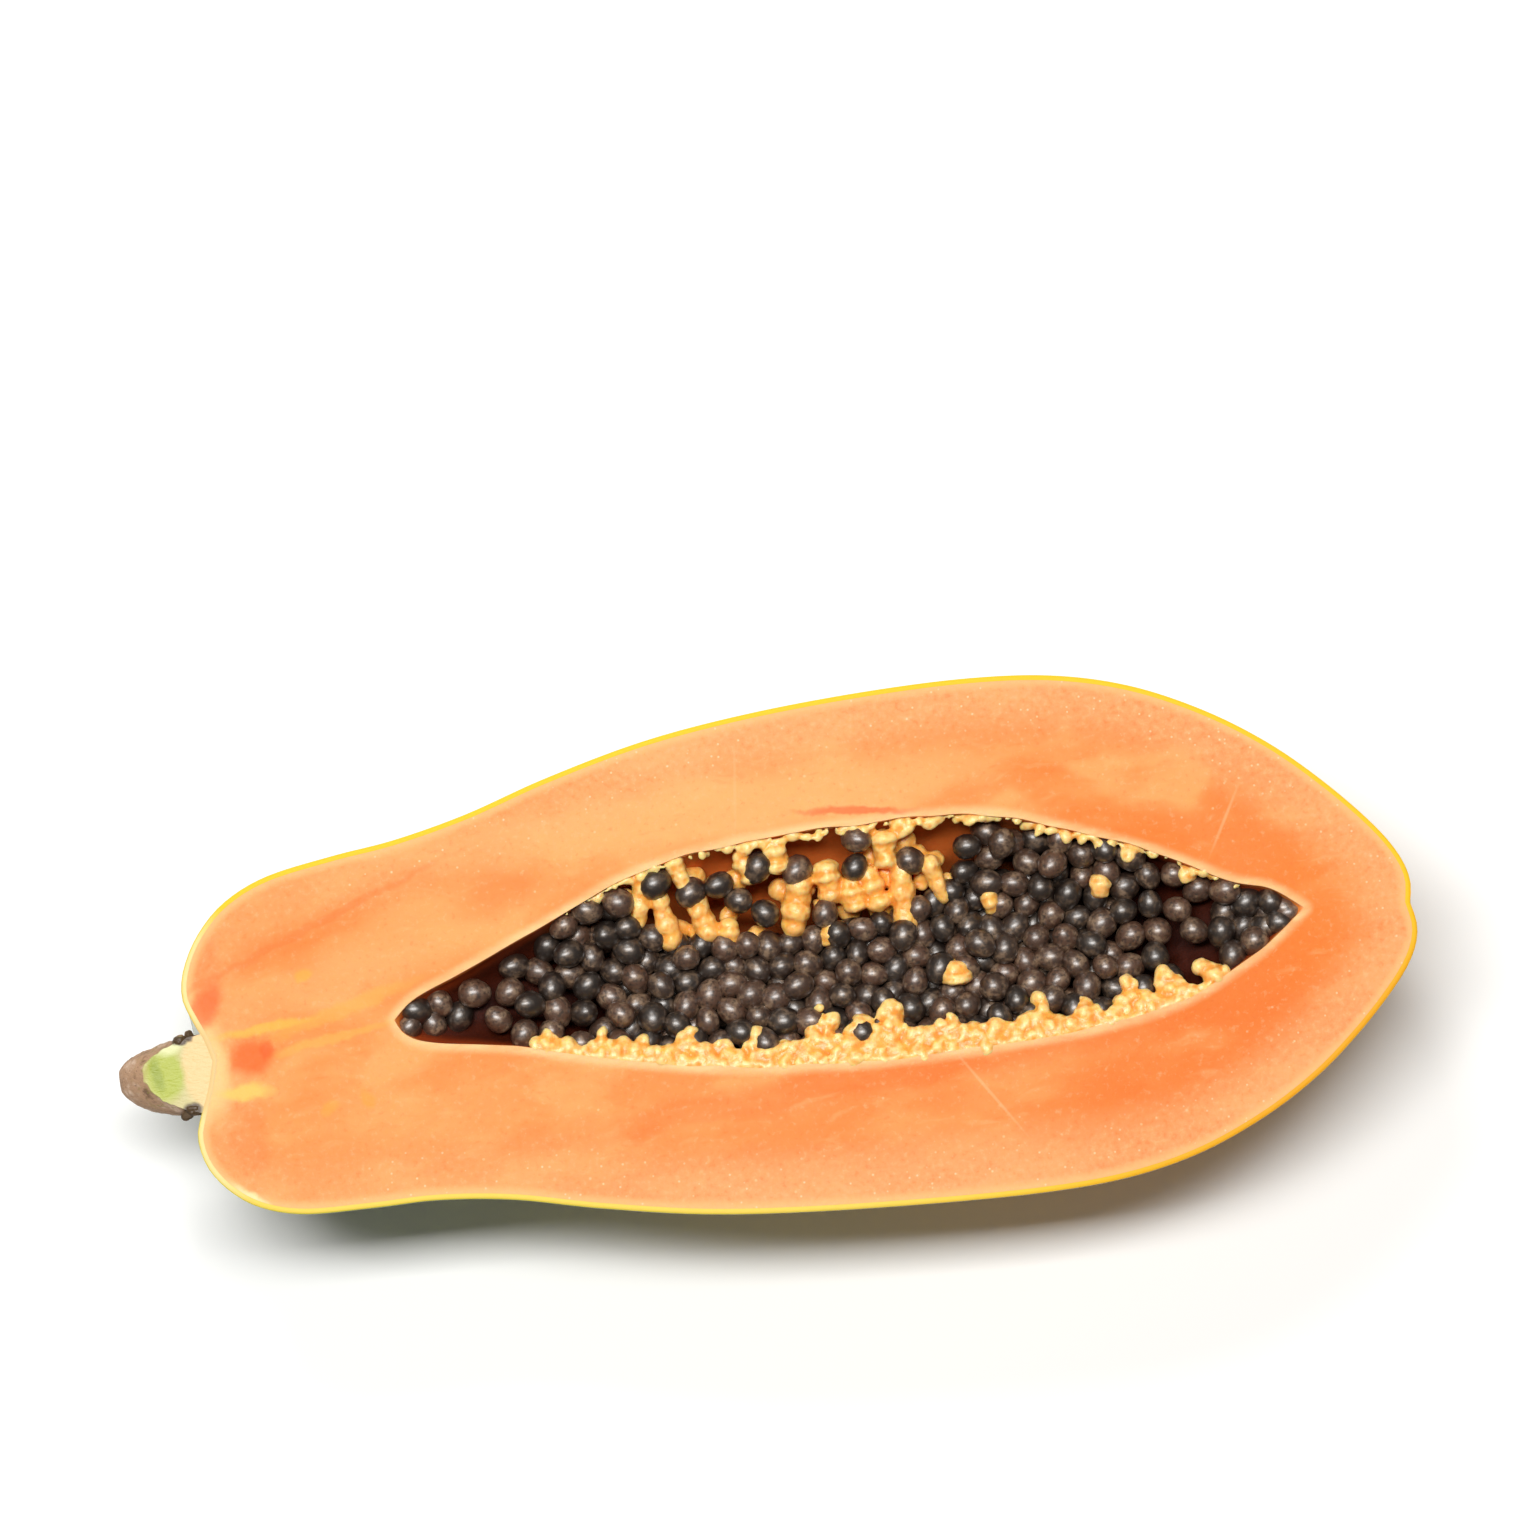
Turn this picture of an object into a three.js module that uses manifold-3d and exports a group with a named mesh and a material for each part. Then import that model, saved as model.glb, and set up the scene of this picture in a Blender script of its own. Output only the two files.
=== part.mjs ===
// Half a ripe papaya, cut lengthwise, lying on its rounded back with the cut face up.
// Units are millimetres and +Z is up. While it is shaped, the fruit's own frame is used: x runs from
// the stem seat to the blossom tip, y goes across the cut face from the near edge to the far edge,
// and z = 0 is the cut face. The finished group is then placed with its origin at the middle of its
// bounding box's bottom face.

import * as THREE from 'three';
import { mergeVertices } from 'three/addons/utils/BufferGeometryUtils.js';
import Module from 'manifold-3d';

const wasm = await Module();
wasm.setup();

// The fruit
const FRUIT_LENGTH = 250;       // stem seat to blossom tip
const REST_DEPTH = 52.3;        // cut face down to the flat spot that the fruit rests on
const BEND = 5.6;               // how far the middle curves away from the line from stem to tip
const BEND_SHAPE = 0.7;
const NECK_SAG = 0.165;         // the neck is this much deeper than it is wide
const NECK_SAG_AT = 52;
const NECK_SAG_SPREAD = 50;
const RIB_COUNT = 5;
const RIB_BELLY = 0.006;        // rib height as a share of the radius, at the belly
const RIB_TIP = 0.05;           // and at the blossom tip
const RIB_TIP_REACH = 22;
const RIB_TURN = 0.9;

// The cut outline: distance along the fruit and half width there
const OUTLINE = [
  [2.6, 0], [1.2, 5], [-0.6, 9.5], [-2, 14.5], [-0.8, 20.5], [3, 26.5], [9, 31.5], [18, 34.8],
  [32, 36.3], [45, 37.2], [60, 39.8], [77, 44.4], [98, 48.9], [120, 51.5], [145, 53], [167, 53.3],
  [184, 52], [199, 48.4], [213, 42.2], [225, 34.6], [235, 26], [243.5, 17], [248, 10.5], [249.7, 5],
  [249, 0],
];

// The seed hollow's edge on the cut face, on its far side and on its near side
const CAVITY_FAR = [
  [40.5, 3.9], [45, 7.6], [55, 11.6], [73, 19], [94, 27.4], [116, 30.6], [140, 31.2], [164, 30],
  [182, 24.2], [198, 17.6], [213, 9.6], [221, 6.8], [227.2, 2.1],
];
const CAVITY_NEAR = [
  [40.5, 3.9], [42.5, 0.6], [48, -1.8], [64, -4.6], [80, -9], [104, -14.2], [132, -17], [160, -17.4],
  [184, -16.2], [201, -13], [215, -6.4], [221, -2.6], [227.2, 2.1],
];
const CAVITY_SIDES = [-18, 32]; // the furthest that it reaches to each side
const CAVITY_ROUNDNESS = 0.95;  // the hollow's depth over its half width
const GAP = 0.35;               // clearance between neighbouring pieces

// The bed of packed seeds that fills the hollow up to a few millimetres below the cut face
const BED_DEEPEST = 8.5;        // where the hollow is widest
const BED_EDGE = 3.6;           // along the hollow's edges
const BED_TIP = 1.4;            // and at its two ends
const BED_LEAN = 1.2;           // above 1 puts the deepest line past the middle
const CAVITY_WIDEST = 48;
const CAVITY_NARROW = 18;

// The shelf of pulp on the hollow's far wall, with an oval outline
const SHELF_CENTRE = [124, 21];
const SHELF_SIZE = [35, 9.5];   // half length and half width
const SHELF_SIDES = 16;
const SHELF_DROP = 1;
const SHELF_CRUMBS = 18;
const SHELF_CRUMB_RADIUS = [2.2, 3.4];
const SHELF_SEEDS = 9;
const SHELF_SEED_SPACING = 9;
const SHELF_SEED_RISE = 1.6;
const SHELF_SEED_TRIES = 300;
const SHELF_MARGIN = 0.95;      // share of the oval that its seeds keep to

// Crumbs of pulp along the hollow's two edges
const NEAR_ROW = [66, 206];
const NEAR_ROW_STEP = 4.8;
const NEAR_CRUMB_RADIUS = [1.8, 3.3];
const NEAR_INNER_SHARE = 0.7;   // how often a crumb has a second one behind it
const FAR_ROW = [84, 214];
const FAR_ROW_STEP = 7.2;
const FAR_CRUMB_RADIUS = [1.5, 2.3];

// Loose-lying seeds
const SEED_LENGTH = 6.5;
const SEED_WIDTH = 5.4;
const SEED_COUNT = 158;
const SEED_SIZES = [0.88, 1.06];
const SEED_SPACING = 1.14;
const UPPER_SHARE = 0.2;        // share of the seeds that lie on top of the others
const UPPER_RISE = 4.2;         // how far their middles lie above the bed
const LOWER_RISE = 1;
const PUSH_ROUNDS = 40;

// The stem stub: it tapers, leans down and away from the cut, and ends bluntly
const STEM_LENGTH = 18.5;
const STEM_RADIUS = 8.2;
const STEM_TAPER = 0.2;
const STEM_BLUNTNESS = 3.2;
const STEM_START = [0.6, -2.2, -1.5];
const STEM_LEAN = [-STEM_LENGTH, 2, -8];
const STEM_STEPS = 9;
const STEM_SIDES = 14;
const STEM_RIDGES = 3;
const STEM_RIDGE_HEIGHT = 0.05;
const STEM_TWIST = 4;

// Seeds of the random draws
const PULP_DRAW = 11;
const SEED_DRAW = 5;
const SHELF_DRAW = 3;
const GOLDEN_ANGLE = Math.PI * (3 - Math.sqrt(5));

// Mesh fineness
const OUTLINE_STEPS = 40;
const ROUND_STEPS = 34;
const CAVITY_STEPS = 22;
const CAVITY_ROUND_STEPS = 16;
const BED_STEPS_X = 14;
const BED_STEPS_Y = 4;
const TABLE_STEPS = 400;

const materials = {
  flesh: new THREE.MeshStandardMaterial({ color: 0xff9a55, roughness: 0.45, metalness: 0 }),
  seeds: new THREE.MeshStandardMaterial({ color: 0x2b2320, roughness: 0.2, metalness: 0 }),
  stem: new THREE.MeshStandardMaterial({ color: 0x9a8a55, roughness: 0.75, metalness: 0 }),
};

const clamp = (value, low, high) => Math.min(high, Math.max(low, value));
const mix = (a, b, t) => a + (b - a) * t;

// A repeatable stream of numbers from 0 to 1
function makeRandom(seed) {
  let state = seed >>> 0;
  return () => {
    state = (Math.imul(state, 1664525) + 1013904223) >>> 0;
    return state / 4294967296;
  };
}

function splineThrough(points) {
  return new THREE.SplineCurve(points.map(([x, y]) => new THREE.Vector2(x, y)));
}

// Reads a spline as a height over x, for the splines whose x always grows
function heightTable(points) {
  const table = splineThrough(points).getPoints(TABLE_STEPS);
  return (x) => {
    const next = table.findIndex((point) => point.x >= x);
    if (next === 0) return table[0].y;
    if (next < 0) return table[TABLE_STEPS].y;
    const share = (x - table[next - 1].x) / (table[next].x - table[next - 1].x);
    return mix(table[next - 1].y, table[next].y, share);
  };
}

const midline = (x) => BEND * Math.sin(Math.PI * clamp(x / FRUIT_LENGTH, 0, 1)) ** BEND_SHAPE;
const depthFactor = (x) => 1 + NECK_SAG * Math.exp(-(((x - NECK_SAG_AT) / NECK_SAG_SPREAD) ** 2));
const cavityFar = heightTable(CAVITY_FAR);
const cavityNear = heightTable(CAVITY_NEAR);
const cavityMiddle = (x) => (cavityFar(x) + cavityNear(x)) / 2;
const cavityHalf = (x) => (cavityFar(x) - cavityNear(x)) / 2;
const CAVITY_START = CAVITY_FAR[0][0];
const CAVITY_END = CAVITY_FAR[CAVITY_FAR.length - 1][0];

// A closed surface through rings of points, with a pole at each end
function ringGeometry(rings, startPole, endPole) {
  const count = rings[0].length;
  const positions = [startPole, ...rings.flat(), endPole].flat();
  const index = [];
  const at = (i, j) => 1 + i * count + (j % count);
  const last = 1 + rings.length * count;
  for (let j = 0; j < count; j += 1) {
    index.push(0, at(0, j + 1), at(0, j));
    index.push(last, at(rings.length - 1, j), at(rings.length - 1, j + 1));
    for (let i = 0; i + 1 < rings.length; i += 1) {
      index.push(at(i, j), at(i, j + 1), at(i + 1, j + 1));
      index.push(at(i, j), at(i + 1, j + 1), at(i + 1, j));
    }
  }
  return indexedGeometry(positions, index);
}

function indexedGeometry(positions, index) {
  const geometry = new THREE.BufferGeometry();
  geometry.setAttribute('position', new THREE.Float32BufferAttribute(positions, 3));
  geometry.setIndex(index);
  return geometry;
}

function toSolid(geometry) {
  const bare = geometry.clone();
  bare.deleteAttribute('normal');
  bare.deleteAttribute('uv');
  const merged = mergeVertices(bare, 1e-4);
  const solid = new wasm.Manifold(new wasm.Mesh({
    numProp: 3,
    vertProperties: new Float32Array(merged.attributes.position.array),
    triVerts: new Uint32Array(merged.index.array),
  }));
  if (solid.volume() < 0) throw new Error('a surface is inside out');
  return solid;
}

function toGeometry(solid) {
  const mesh = solid.getMesh();
  return indexedGeometry([...mesh.vertProperties], [...mesh.triVerts]);
}

// Keeps the largest body, which drops loose scraps and fills hollows that fusing has sealed
function largestBody(solid) {
  return solid.decompose().reduce((best, body) => (body.volume() > best.volume() ? body : best));
}

// Everything below the cut face and above the surface that the fruit rests on
function belowCut() {
  const room = FRUIT_LENGTH * 2;
  return toSolid(new THREE.BoxGeometry(room, room, REST_DEPTH).translate(0, 0, -REST_DEPTH / 2));
}

// The whole fruit as it grew: a bent, faintly ribbed pear shape
function wholeFruit() {
  const outline = splineThrough(OUTLINE);
  const rings = [];
  for (let i = 1; i < OUTLINE_STEPS; i += 1) {
    const { x, y: radius } = outline.getPoint(i / OUTLINE_STEPS);
    const tipShare = Math.exp(-Math.max(0, FRUIT_LENGTH - x) / RIB_TIP_REACH);
    const rib = mix(RIB_BELLY, RIB_TIP, tipShare);
    const ring = [];
    for (let j = 0; j < ROUND_STEPS; j += 1) {
      const angle = (j / ROUND_STEPS) * Math.PI * 2;
      const r = radius * (1 + rib * Math.cos(RIB_COUNT * (angle - RIB_TURN)));
      ring.push([x, midline(x) + r * Math.cos(angle), r * depthFactor(x) * Math.sin(angle)]);
    }
    rings.push(ring);
  }
  const pole = (x) => [x, midline(x), 0];
  return ringGeometry(rings, pole(OUTLINE[0][0]), pole(OUTLINE[OUTLINE.length - 1][0]));
}

// The seed hollow as a spindle about the cut face. A positive inset makes it smaller all round.
function cavitySpindle(inset) {
  const start = CAVITY_START + inset * 3;
  const end = CAVITY_END - inset * 3;
  const rings = [];
  for (let i = 1; i < CAVITY_STEPS; i += 1) {
    const x = mix(start, end, (1 - Math.cos((i / CAVITY_STEPS) * Math.PI)) / 2);
    const half = Math.max(0.2, cavityHalf(x) - inset);
    const ring = [];
    for (let j = 0; j < CAVITY_ROUND_STEPS; j += 1) {
      const angle = (j / CAVITY_ROUND_STEPS) * Math.PI * 2;
      const depth = half * CAVITY_ROUNDNESS * Math.sin(angle);
      ring.push([x, cavityMiddle(x) + half * Math.cos(angle), depth]);
    }
    rings.push(ring);
  }
  const pole = (x) => [x, cavityMiddle(x), 0];
  return toSolid(ringGeometry(rings, pole(start), pole(end)));
}

// How far the seeds' bed lies below the cut face: little at the edges and ends, most past the middle
function bedDepth(x, y) {
  const width = Math.max(cavityFar(x) - cavityNear(x), 0.01);
  const across = clamp((y - cavityNear(x)) / width, 0, 1);
  const edge = mix(BED_TIP, BED_EDGE, clamp(width / CAVITY_NARROW, 0, 1));
  const deepening = (BED_DEEPEST - BED_EDGE) * clamp(width / CAVITY_WIDEST, 0, 1);
  return edge + deepening * Math.sin(Math.PI * across ** BED_LEAN);
}

// Where a point stands in the shelf's oval: below 1 is inside
function shelfReach(x, y, margin = 0) {
  const along = (x - SHELF_CENTRE[0]) / (SHELF_SIZE[0] + margin);
  const across = (y - SHELF_CENTRE[1]) / (SHELF_SIZE[1] + margin);
  return Math.hypot(along, across);
}

// A block whose top follows the seeds' bed, lowered by a drop
function bedBlock(drop) {
  const rows = BED_STEPS_Y + 1;
  const layerSize = (BED_STEPS_X + 1) * rows;
  const positions = [];
  for (let k = 0; k < layerSize * 2; k += 1) {
    const x = mix(CAVITY_START, CAVITY_END, Math.floor((k % layerSize) / rows) / BED_STEPS_X);
    const y = mix(cavityNear(x) - 1, cavityFar(x) + 1, (k % rows) / BED_STEPS_Y);
    positions.push(x, y, k < layerSize ? -REST_DEPTH : -bedDepth(x, y) - drop);
  }
  const index = [];
  const low = (i, j) => i * rows + j;
  const top = (i, j) => layerSize + low(i, j);
  const quad = (a, b, c, d) => index.push(a, b, c, a, c, d);
  for (let i = 0; i < BED_STEPS_X; i += 1) {
    for (let j = 0; j < BED_STEPS_Y; j += 1) {
      quad(top(i, j), top(i + 1, j), top(i + 1, j + 1), top(i, j + 1));
      quad(low(i, j), low(i, j + 1), low(i + 1, j + 1), low(i + 1, j));
    }
    quad(low(i, 0), low(i + 1, 0), top(i + 1, 0), top(i, 0));
    quad(top(i, BED_STEPS_Y), top(i + 1, BED_STEPS_Y), low(i + 1, BED_STEPS_Y), low(i, BED_STEPS_Y));
  }
  for (let j = 0; j < BED_STEPS_Y; j += 1) {
    quad(low(0, j), top(0, j), top(0, j + 1), low(0, j + 1));
    quad(top(BED_STEPS_X, j), low(BED_STEPS_X, j), low(BED_STEPS_X, j + 1), top(BED_STEPS_X, j + 1));
  }
  return toSolid(indexedGeometry(positions, index));
}

// An upright prism over the shelf's oval
function shelfPrism(margin) {
  const geometry = new THREE.CylinderGeometry(1, 1, REST_DEPTH, SHELF_SIDES);
  geometry.rotateX(Math.PI / 2);
  geometry.scale(SHELF_SIZE[0] + margin, SHELF_SIZE[1] + margin, 1);
  geometry.translate(SHELF_CENTRE[0], SHELF_CENTRE[1], -REST_DEPTH / 2);
  return toSolid(geometry);
}

// A pebble-like lump: a twenty-sided ball stretched to three half sizes, turned and put in place
function lumpSolid({ at, size, turn }, margin = 0) {
  const geometry = new THREE.IcosahedronGeometry(1, 0);
  geometry.scale(...size.map((value) => value + margin));
  geometry.applyQuaternion(new THREE.Quaternion().setFromEuler(new THREE.Euler(...turn)));
  geometry.translate(...at);
  return toSolid(geometry);
}

// True where a ball of that radius fits inside the hollow
function insideHollow(x, y, z, radius) {
  const half = cavityHalf(x) - radius;
  return half > 0 && Math.hypot((y - cavityMiddle(x)) / half, z / (half * CAVITY_ROUNDNESS)) < 1;
}

// The crumbs of pulp: a row along each edge of the hollow and a patch on the far wall's shelf
function pulpCrumbs() {
  const random = makeRandom(PULP_DRAW);
  const crumbs = [];
  const add = (x, y, z, radius) => {
    const size = [radius * mix(0.9, 1.25, random()), radius * mix(0.9, 1.15, random()), radius];
    const turn = [random() * 0.6, random() * 0.6, random() * Math.PI];
    crumbs.push({ at: [x, y, z], size, turn, radius: Math.max(...size) });
  };
  for (let x = NEAR_ROW[0]; x < NEAR_ROW[1]; x += NEAR_ROW_STEP) {
    const fullness = Math.sin((Math.PI * (x - NEAR_ROW[0])) / (NEAR_ROW[1] - NEAR_ROW[0]));
    const radius = mix(...NEAR_CRUMB_RADIUS, fullness * mix(0.6, 1, random()));
    add(x, cavityNear(x) + radius * mix(0.35, 0.9, random()), -radius * mix(0.6, 0.85, random()), radius);
    if (random() < fullness * NEAR_INNER_SHARE) {
      const inner = radius * mix(0.8, 1, random());
      add(x + inner, cavityNear(x) + radius * 2, -BED_EDGE * mix(0.7, 1.1, random()), inner);
    }
  }
  for (let x = FAR_ROW[0]; x < FAR_ROW[1]; x += FAR_ROW_STEP) {
    const radius = mix(...FAR_CRUMB_RADIUS, random());
    add(x, cavityFar(x) - radius * mix(0.3, 0.6, random()), -radius * mix(0.9, 1.6, random()), radius);
  }
  for (let i = 0; i < SHELF_CRUMBS; i += 1) {
    const angle = i * GOLDEN_ANGLE;
    const reach = Math.sqrt((i + 0.5) / SHELF_CRUMBS);
    const x = SHELF_CENTRE[0] + SHELF_SIZE[0] * reach * Math.cos(angle);
    const y = SHELF_CENTRE[1] + SHELF_SIZE[1] * reach * Math.sin(angle);
    const radius = mix(...SHELF_CRUMB_RADIUS, random());
    if (insideHollow(x, y, -bedDepth(x, y), 1)) add(x, y, -bedDepth(x, y) - radius * 0.35, radius);
  }
  return crumbs;
}

function seedSize(scale) {
  return [SEED_WIDTH, SEED_WIDTH, SEED_LENGTH].map((value) => (value / 2) * scale);
}

// A few seeds still cling to the shelf, far from each other
function shelfSeedPlaces() {
  const random = makeRandom(SHELF_DRAW);
  const seeds = [];
  for (let tries = 0; tries < SHELF_SEED_TRIES && seeds.length < SHELF_SEEDS; tries += 1) {
    const x = SHELF_CENTRE[0] + SHELF_SIZE[0] * mix(-1, 1, random());
    const y = SHELF_CENTRE[1] + SHELF_SIZE[1] * mix(-1, 1, random());
    const turn = [random() * Math.PI, random() * Math.PI, random() * Math.PI];
    const z = SHELF_SEED_RISE - bedDepth(x, y);
    const clear = seeds.every(({ at }) => Math.hypot(x - at[0], y - at[1]) > SHELF_SEED_SPACING);
    const inside = shelfReach(x, y) < SHELF_MARGIN && insideHollow(x, y, z, SEED_WIDTH / 2);
    if (clear && inside) seeds.push({ at: [x, y, z], size: seedSize(1), radius: SEED_LENGTH / 2, turn });
  }
  return seeds;
}

// Seeds are thrown in at random, then pushed apart until they lie side by side on their bed
function looseSeedPlaces(obstacles) {
  const random = makeRandom(SEED_DRAW);
  const seeds = [];
  while (seeds.length < SEED_COUNT) {
    const x = mix(CAVITY_START, CAVITY_END, random());
    const y = mix(...CAVITY_SIDES, random());
    const rise = random() < UPPER_SHARE ? UPPER_RISE : LOWER_RISE;
    const scale = mix(...SEED_SIZES, random());
    const turn = [random() * Math.PI, random() * Math.PI, random() * Math.PI];
    const radius = (SEED_WIDTH / 2) * scale;
    if (insideHollow(x, y, -BED_TIP, radius) && shelfReach(x, y, radius) > 1) {
      seeds.push({ at: [x, y, rise - bedDepth(x, y)], size: seedSize(scale), rise, radius, turn });
    }
  }
  for (let round = 0; round < PUSH_ROUNDS; round += 1) pushApart(seeds, obstacles);
  return seeds;
}

function pushApart(seeds, obstacles) {
  const pushFrom = (seed, from, wanted, share) => {
    const away = seed.at.map((value, i) => value - from[i]);
    const distance = Math.max(0.01, Math.hypot(...away));
    if (distance >= wanted) return;
    seed.at[0] += ((away[0] * (wanted - distance)) / distance) * share;
    seed.at[1] += ((away[1] * (wanted - distance)) / distance) * share;
  };
  seeds.forEach((seed, i) => {
    seeds.slice(i + 1).forEach((other) => {
      const wanted = (seed.radius + other.radius) * SEED_SPACING;
      const from = [...seed.at];
      pushFrom(seed, other.at, wanted, 0.5);
      pushFrom(other, from, wanted, 0.5);
    });
  });
  seeds.forEach((seed) => {
    obstacles.forEach(({ at, radius }) => pushFrom(seed, at, Math.max(...seed.size) + radius + GAP, 1));
    keepInHollow(seed);
  });
}

// Moves a seed back between the hollow's walls, off the shelf and onto the bed
function keepInHollow(seed) {
  const reach = Math.max(...seed.size) + GAP;
  seed.at[0] = clamp(seed.at[0], CAVITY_START + reach * 1.6, CAVITY_END - reach * 1.6);
  const x = seed.at[0];
  const half = Math.max(0.1, cavityHalf(x) - reach);
  const sink = Math.min(0.95, Math.abs(seed.at[2]) / (half * CAVITY_ROUNDNESS));
  const room = half * Math.sqrt(1 - sink * sink);
  seed.at[1] = clamp(seed.at[1], cavityMiddle(x) - room, cavityMiddle(x) + room);
  const shelf = Math.max(0.2, shelfReach(x, seed.at[1], reach));
  if (shelf < 1) seed.at[1] = SHELF_CENTRE[1] + (seed.at[1] - SHELF_CENTRE[1]) / shelf;
  seed.at[2] = seed.rise - bedDepth(x, seed.at[1]);
}

// The shelf of pulp, which lies a little lower than the bed of seeds beside it
function shelfSolid(margin) {
  return cavitySpindle(-1).intersect(bedBlock(SHELF_DROP - margin)).intersect(shelfPrism(margin));
}

// The half fruit: peel and flesh in one piece, with the pulp that lines its seed hollow
function halfFruit(crumbs, shelfSeeds) {
  const hollow = cavitySpindle(0).subtract(shelfSolid(0));
  const cut = toSolid(wholeFruit()).intersect(belowCut()).subtract(hollow);
  const lumps = [...crumbs, ...shelfSeeds].map((lump) => lumpSolid(lump));
  return largestBody(wasm.Manifold.union([cut, ...lumps]));
}

// The loose-lying seeds, fused to each other and to the bed of seeds under them
function seedMass(crumbs, shelfSeeds) {
  const obstacles = [...crumbs, ...shelfSeeds];
  const lumps = obstacles.map((lump) => lumpSolid(lump, GAP * 1.5));
  const room = wasm.Manifold.union([shelfSolid(GAP), ...lumps]);
  const hollow = cavitySpindle(GAP);
  const bed = hollow.intersect(bedBlock(0)).subtract(shelfPrism(GAP * 2)).subtract(room);
  const clear = looseSeedPlaces(obstacles).map((lump) => lumpSolid(lump)).filter((seed) => (
    seed.subtract(hollow).isEmpty() && seed.intersect(room).isEmpty()
  ));
  return largestBody(wasm.Manifold.union([bed, ...clear]));
}

// The dried end of the fruit stalk, cut on the slant by the same knife and seated in the fruit's end
function stemStub() {
  const centre = (share) => STEM_START.map((value, i) => value + STEM_LEAN[i] * share);
  const rings = [];
  for (let i = 0; i < STEM_STEPS; i += 1) {
    const share = i / STEM_STEPS;
    const radius = STEM_RADIUS * (1 - STEM_TAPER * share) * Math.sqrt(1 - share ** STEM_BLUNTNESS);
    const [x, y, z] = centre(share);
    const ring = [];
    for (let j = 0; j < STEM_SIDES; j += 1) {
      const angle = (-j / STEM_SIDES) * Math.PI * 2;
      const r = radius * (1 + STEM_RIDGE_HEIGHT * Math.cos(STEM_RIDGES * angle + STEM_TWIST * share));
      ring.push([x, y + r * Math.cos(angle), z + r * Math.sin(angle)]);
    }
    rings.push(ring);
  }
  const seat = toSolid(wholeFruit().translate(-GAP, 0, 0));
  return toSolid(ringGeometry(rings, centre(0), centre(1))).intersect(belowCut()).subtract(seat);
}

const crumbs = pulpCrumbs();
const shelfSeeds = shelfSeedPlaces();
const pieces = {
  half_fruit: [halfFruit(crumbs, shelfSeeds), materials.flesh],
  seeds: [seedMass(crumbs, shelfSeeds), materials.seeds],
  stem: [stemStub(), materials.stem],
};

const group = new THREE.Group();
Object.entries(pieces).forEach(([name, [solid, material]]) => {
  const mesh = new THREE.Mesh(toGeometry(solid), material);
  mesh.name = name;
  group.add(mesh);
});

const bounds = new THREE.Box3().setFromObject(group);
const middle = bounds.getCenter(new THREE.Vector3());
group.position.set(-middle.x, -middle.y, -bounds.min.z);

export default group;
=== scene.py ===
"""Half a ripe papaya on a white table: peel, flesh, pulp, seeds and stalk, with a studio stage."""

import math
import random

import bpy
import numpy as np
from mathutils import Euler, Matrix, Vector, kdtree, noise


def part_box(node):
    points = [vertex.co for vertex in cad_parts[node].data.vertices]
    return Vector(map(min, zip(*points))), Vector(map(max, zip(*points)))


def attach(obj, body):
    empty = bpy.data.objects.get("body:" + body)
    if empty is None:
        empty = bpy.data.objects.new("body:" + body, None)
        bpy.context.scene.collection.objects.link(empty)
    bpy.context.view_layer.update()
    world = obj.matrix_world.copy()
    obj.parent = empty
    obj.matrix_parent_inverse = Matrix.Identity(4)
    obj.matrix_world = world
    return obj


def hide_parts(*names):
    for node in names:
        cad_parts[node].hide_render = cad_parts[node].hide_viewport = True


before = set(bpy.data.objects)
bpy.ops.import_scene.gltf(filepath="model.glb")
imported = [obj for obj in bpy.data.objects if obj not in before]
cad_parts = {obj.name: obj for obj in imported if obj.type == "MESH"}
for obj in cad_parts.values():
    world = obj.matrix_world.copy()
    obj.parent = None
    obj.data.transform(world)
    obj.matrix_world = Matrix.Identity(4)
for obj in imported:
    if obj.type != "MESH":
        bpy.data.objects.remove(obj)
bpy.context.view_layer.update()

bl_info = {
    "name": "Papaya half",
    "version": (1, 0, 0),
    "blender": (4, 5, 0),
    "location": "3D View > Sidebar > Papaya",
    "description": "Makes half a ripe papaya with its seeds and stalk, piece by piece",
    "category": "Add Mesh",
}

# Lengths below are millimetres in the fruit's own frame: x from the stalk's seat to the blossom tip,
# y across the cut face from near to far, and z up from the cut face. MM turns them to metres.
MM = 0.001
FRUIT_LENGTH = 250
BEND = 5.6
BEND_SHAPE = 0.7
NECK_SAG = 0.165
NECK_SAG_AT = 52
NECK_SAG_SPREAD = 50
RIB_COUNT = 5
RIB_BELLY = 0.006
RIB_TIP = 0.05
RIB_TIP_REACH = 22
RIB_TURN = 0.9

# The cut outline: distance along the fruit and half width there
OUTLINE = [
    (2.6, 0), (1.2, 5), (-0.6, 9.5), (-2, 14.5), (-0.8, 20.5), (3, 26.5), (9, 31.5), (18, 34.8),
    (32, 36.3), (45, 37.2), (60, 39.8), (77, 44.4), (98, 48.9), (120, 51.5), (145, 53), (167, 53.3),
    (184, 52), (199, 48.4), (213, 42.2), (225, 34.6), (235, 26), (243.5, 17), (248, 10.5), (249.7, 5),
    (249, 0),
]
OUTLINE_LOWEST_X = -2

# The seed hollow's edge on the cut face, on its far side and on its near side
CAVITY_FAR = [
    (40.5, 3.9), (45, 7.6), (55, 11.6), (73, 19), (94, 27.4), (116, 30.6), (140, 31.2), (164, 30),
    (182, 24.2), (198, 17.6), (213, 9.6), (221, 6.8), (227.2, 2.1),
]
CAVITY_NEAR = [
    (40.5, 3.9), (42.5, 0.6), (48, -1.8), (64, -4.6), (80, -9), (104, -14.2), (132, -17), (160, -17.4),
    (184, -16.2), (201, -13), (215, -6.4), (221, -2.6), (227.2, 2.1),
]
CAVITY_START = CAVITY_FAR[0][0]
CAVITY_END = CAVITY_FAR[-1][0]
CAVITY_ROUNDNESS = 0.95

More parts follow.
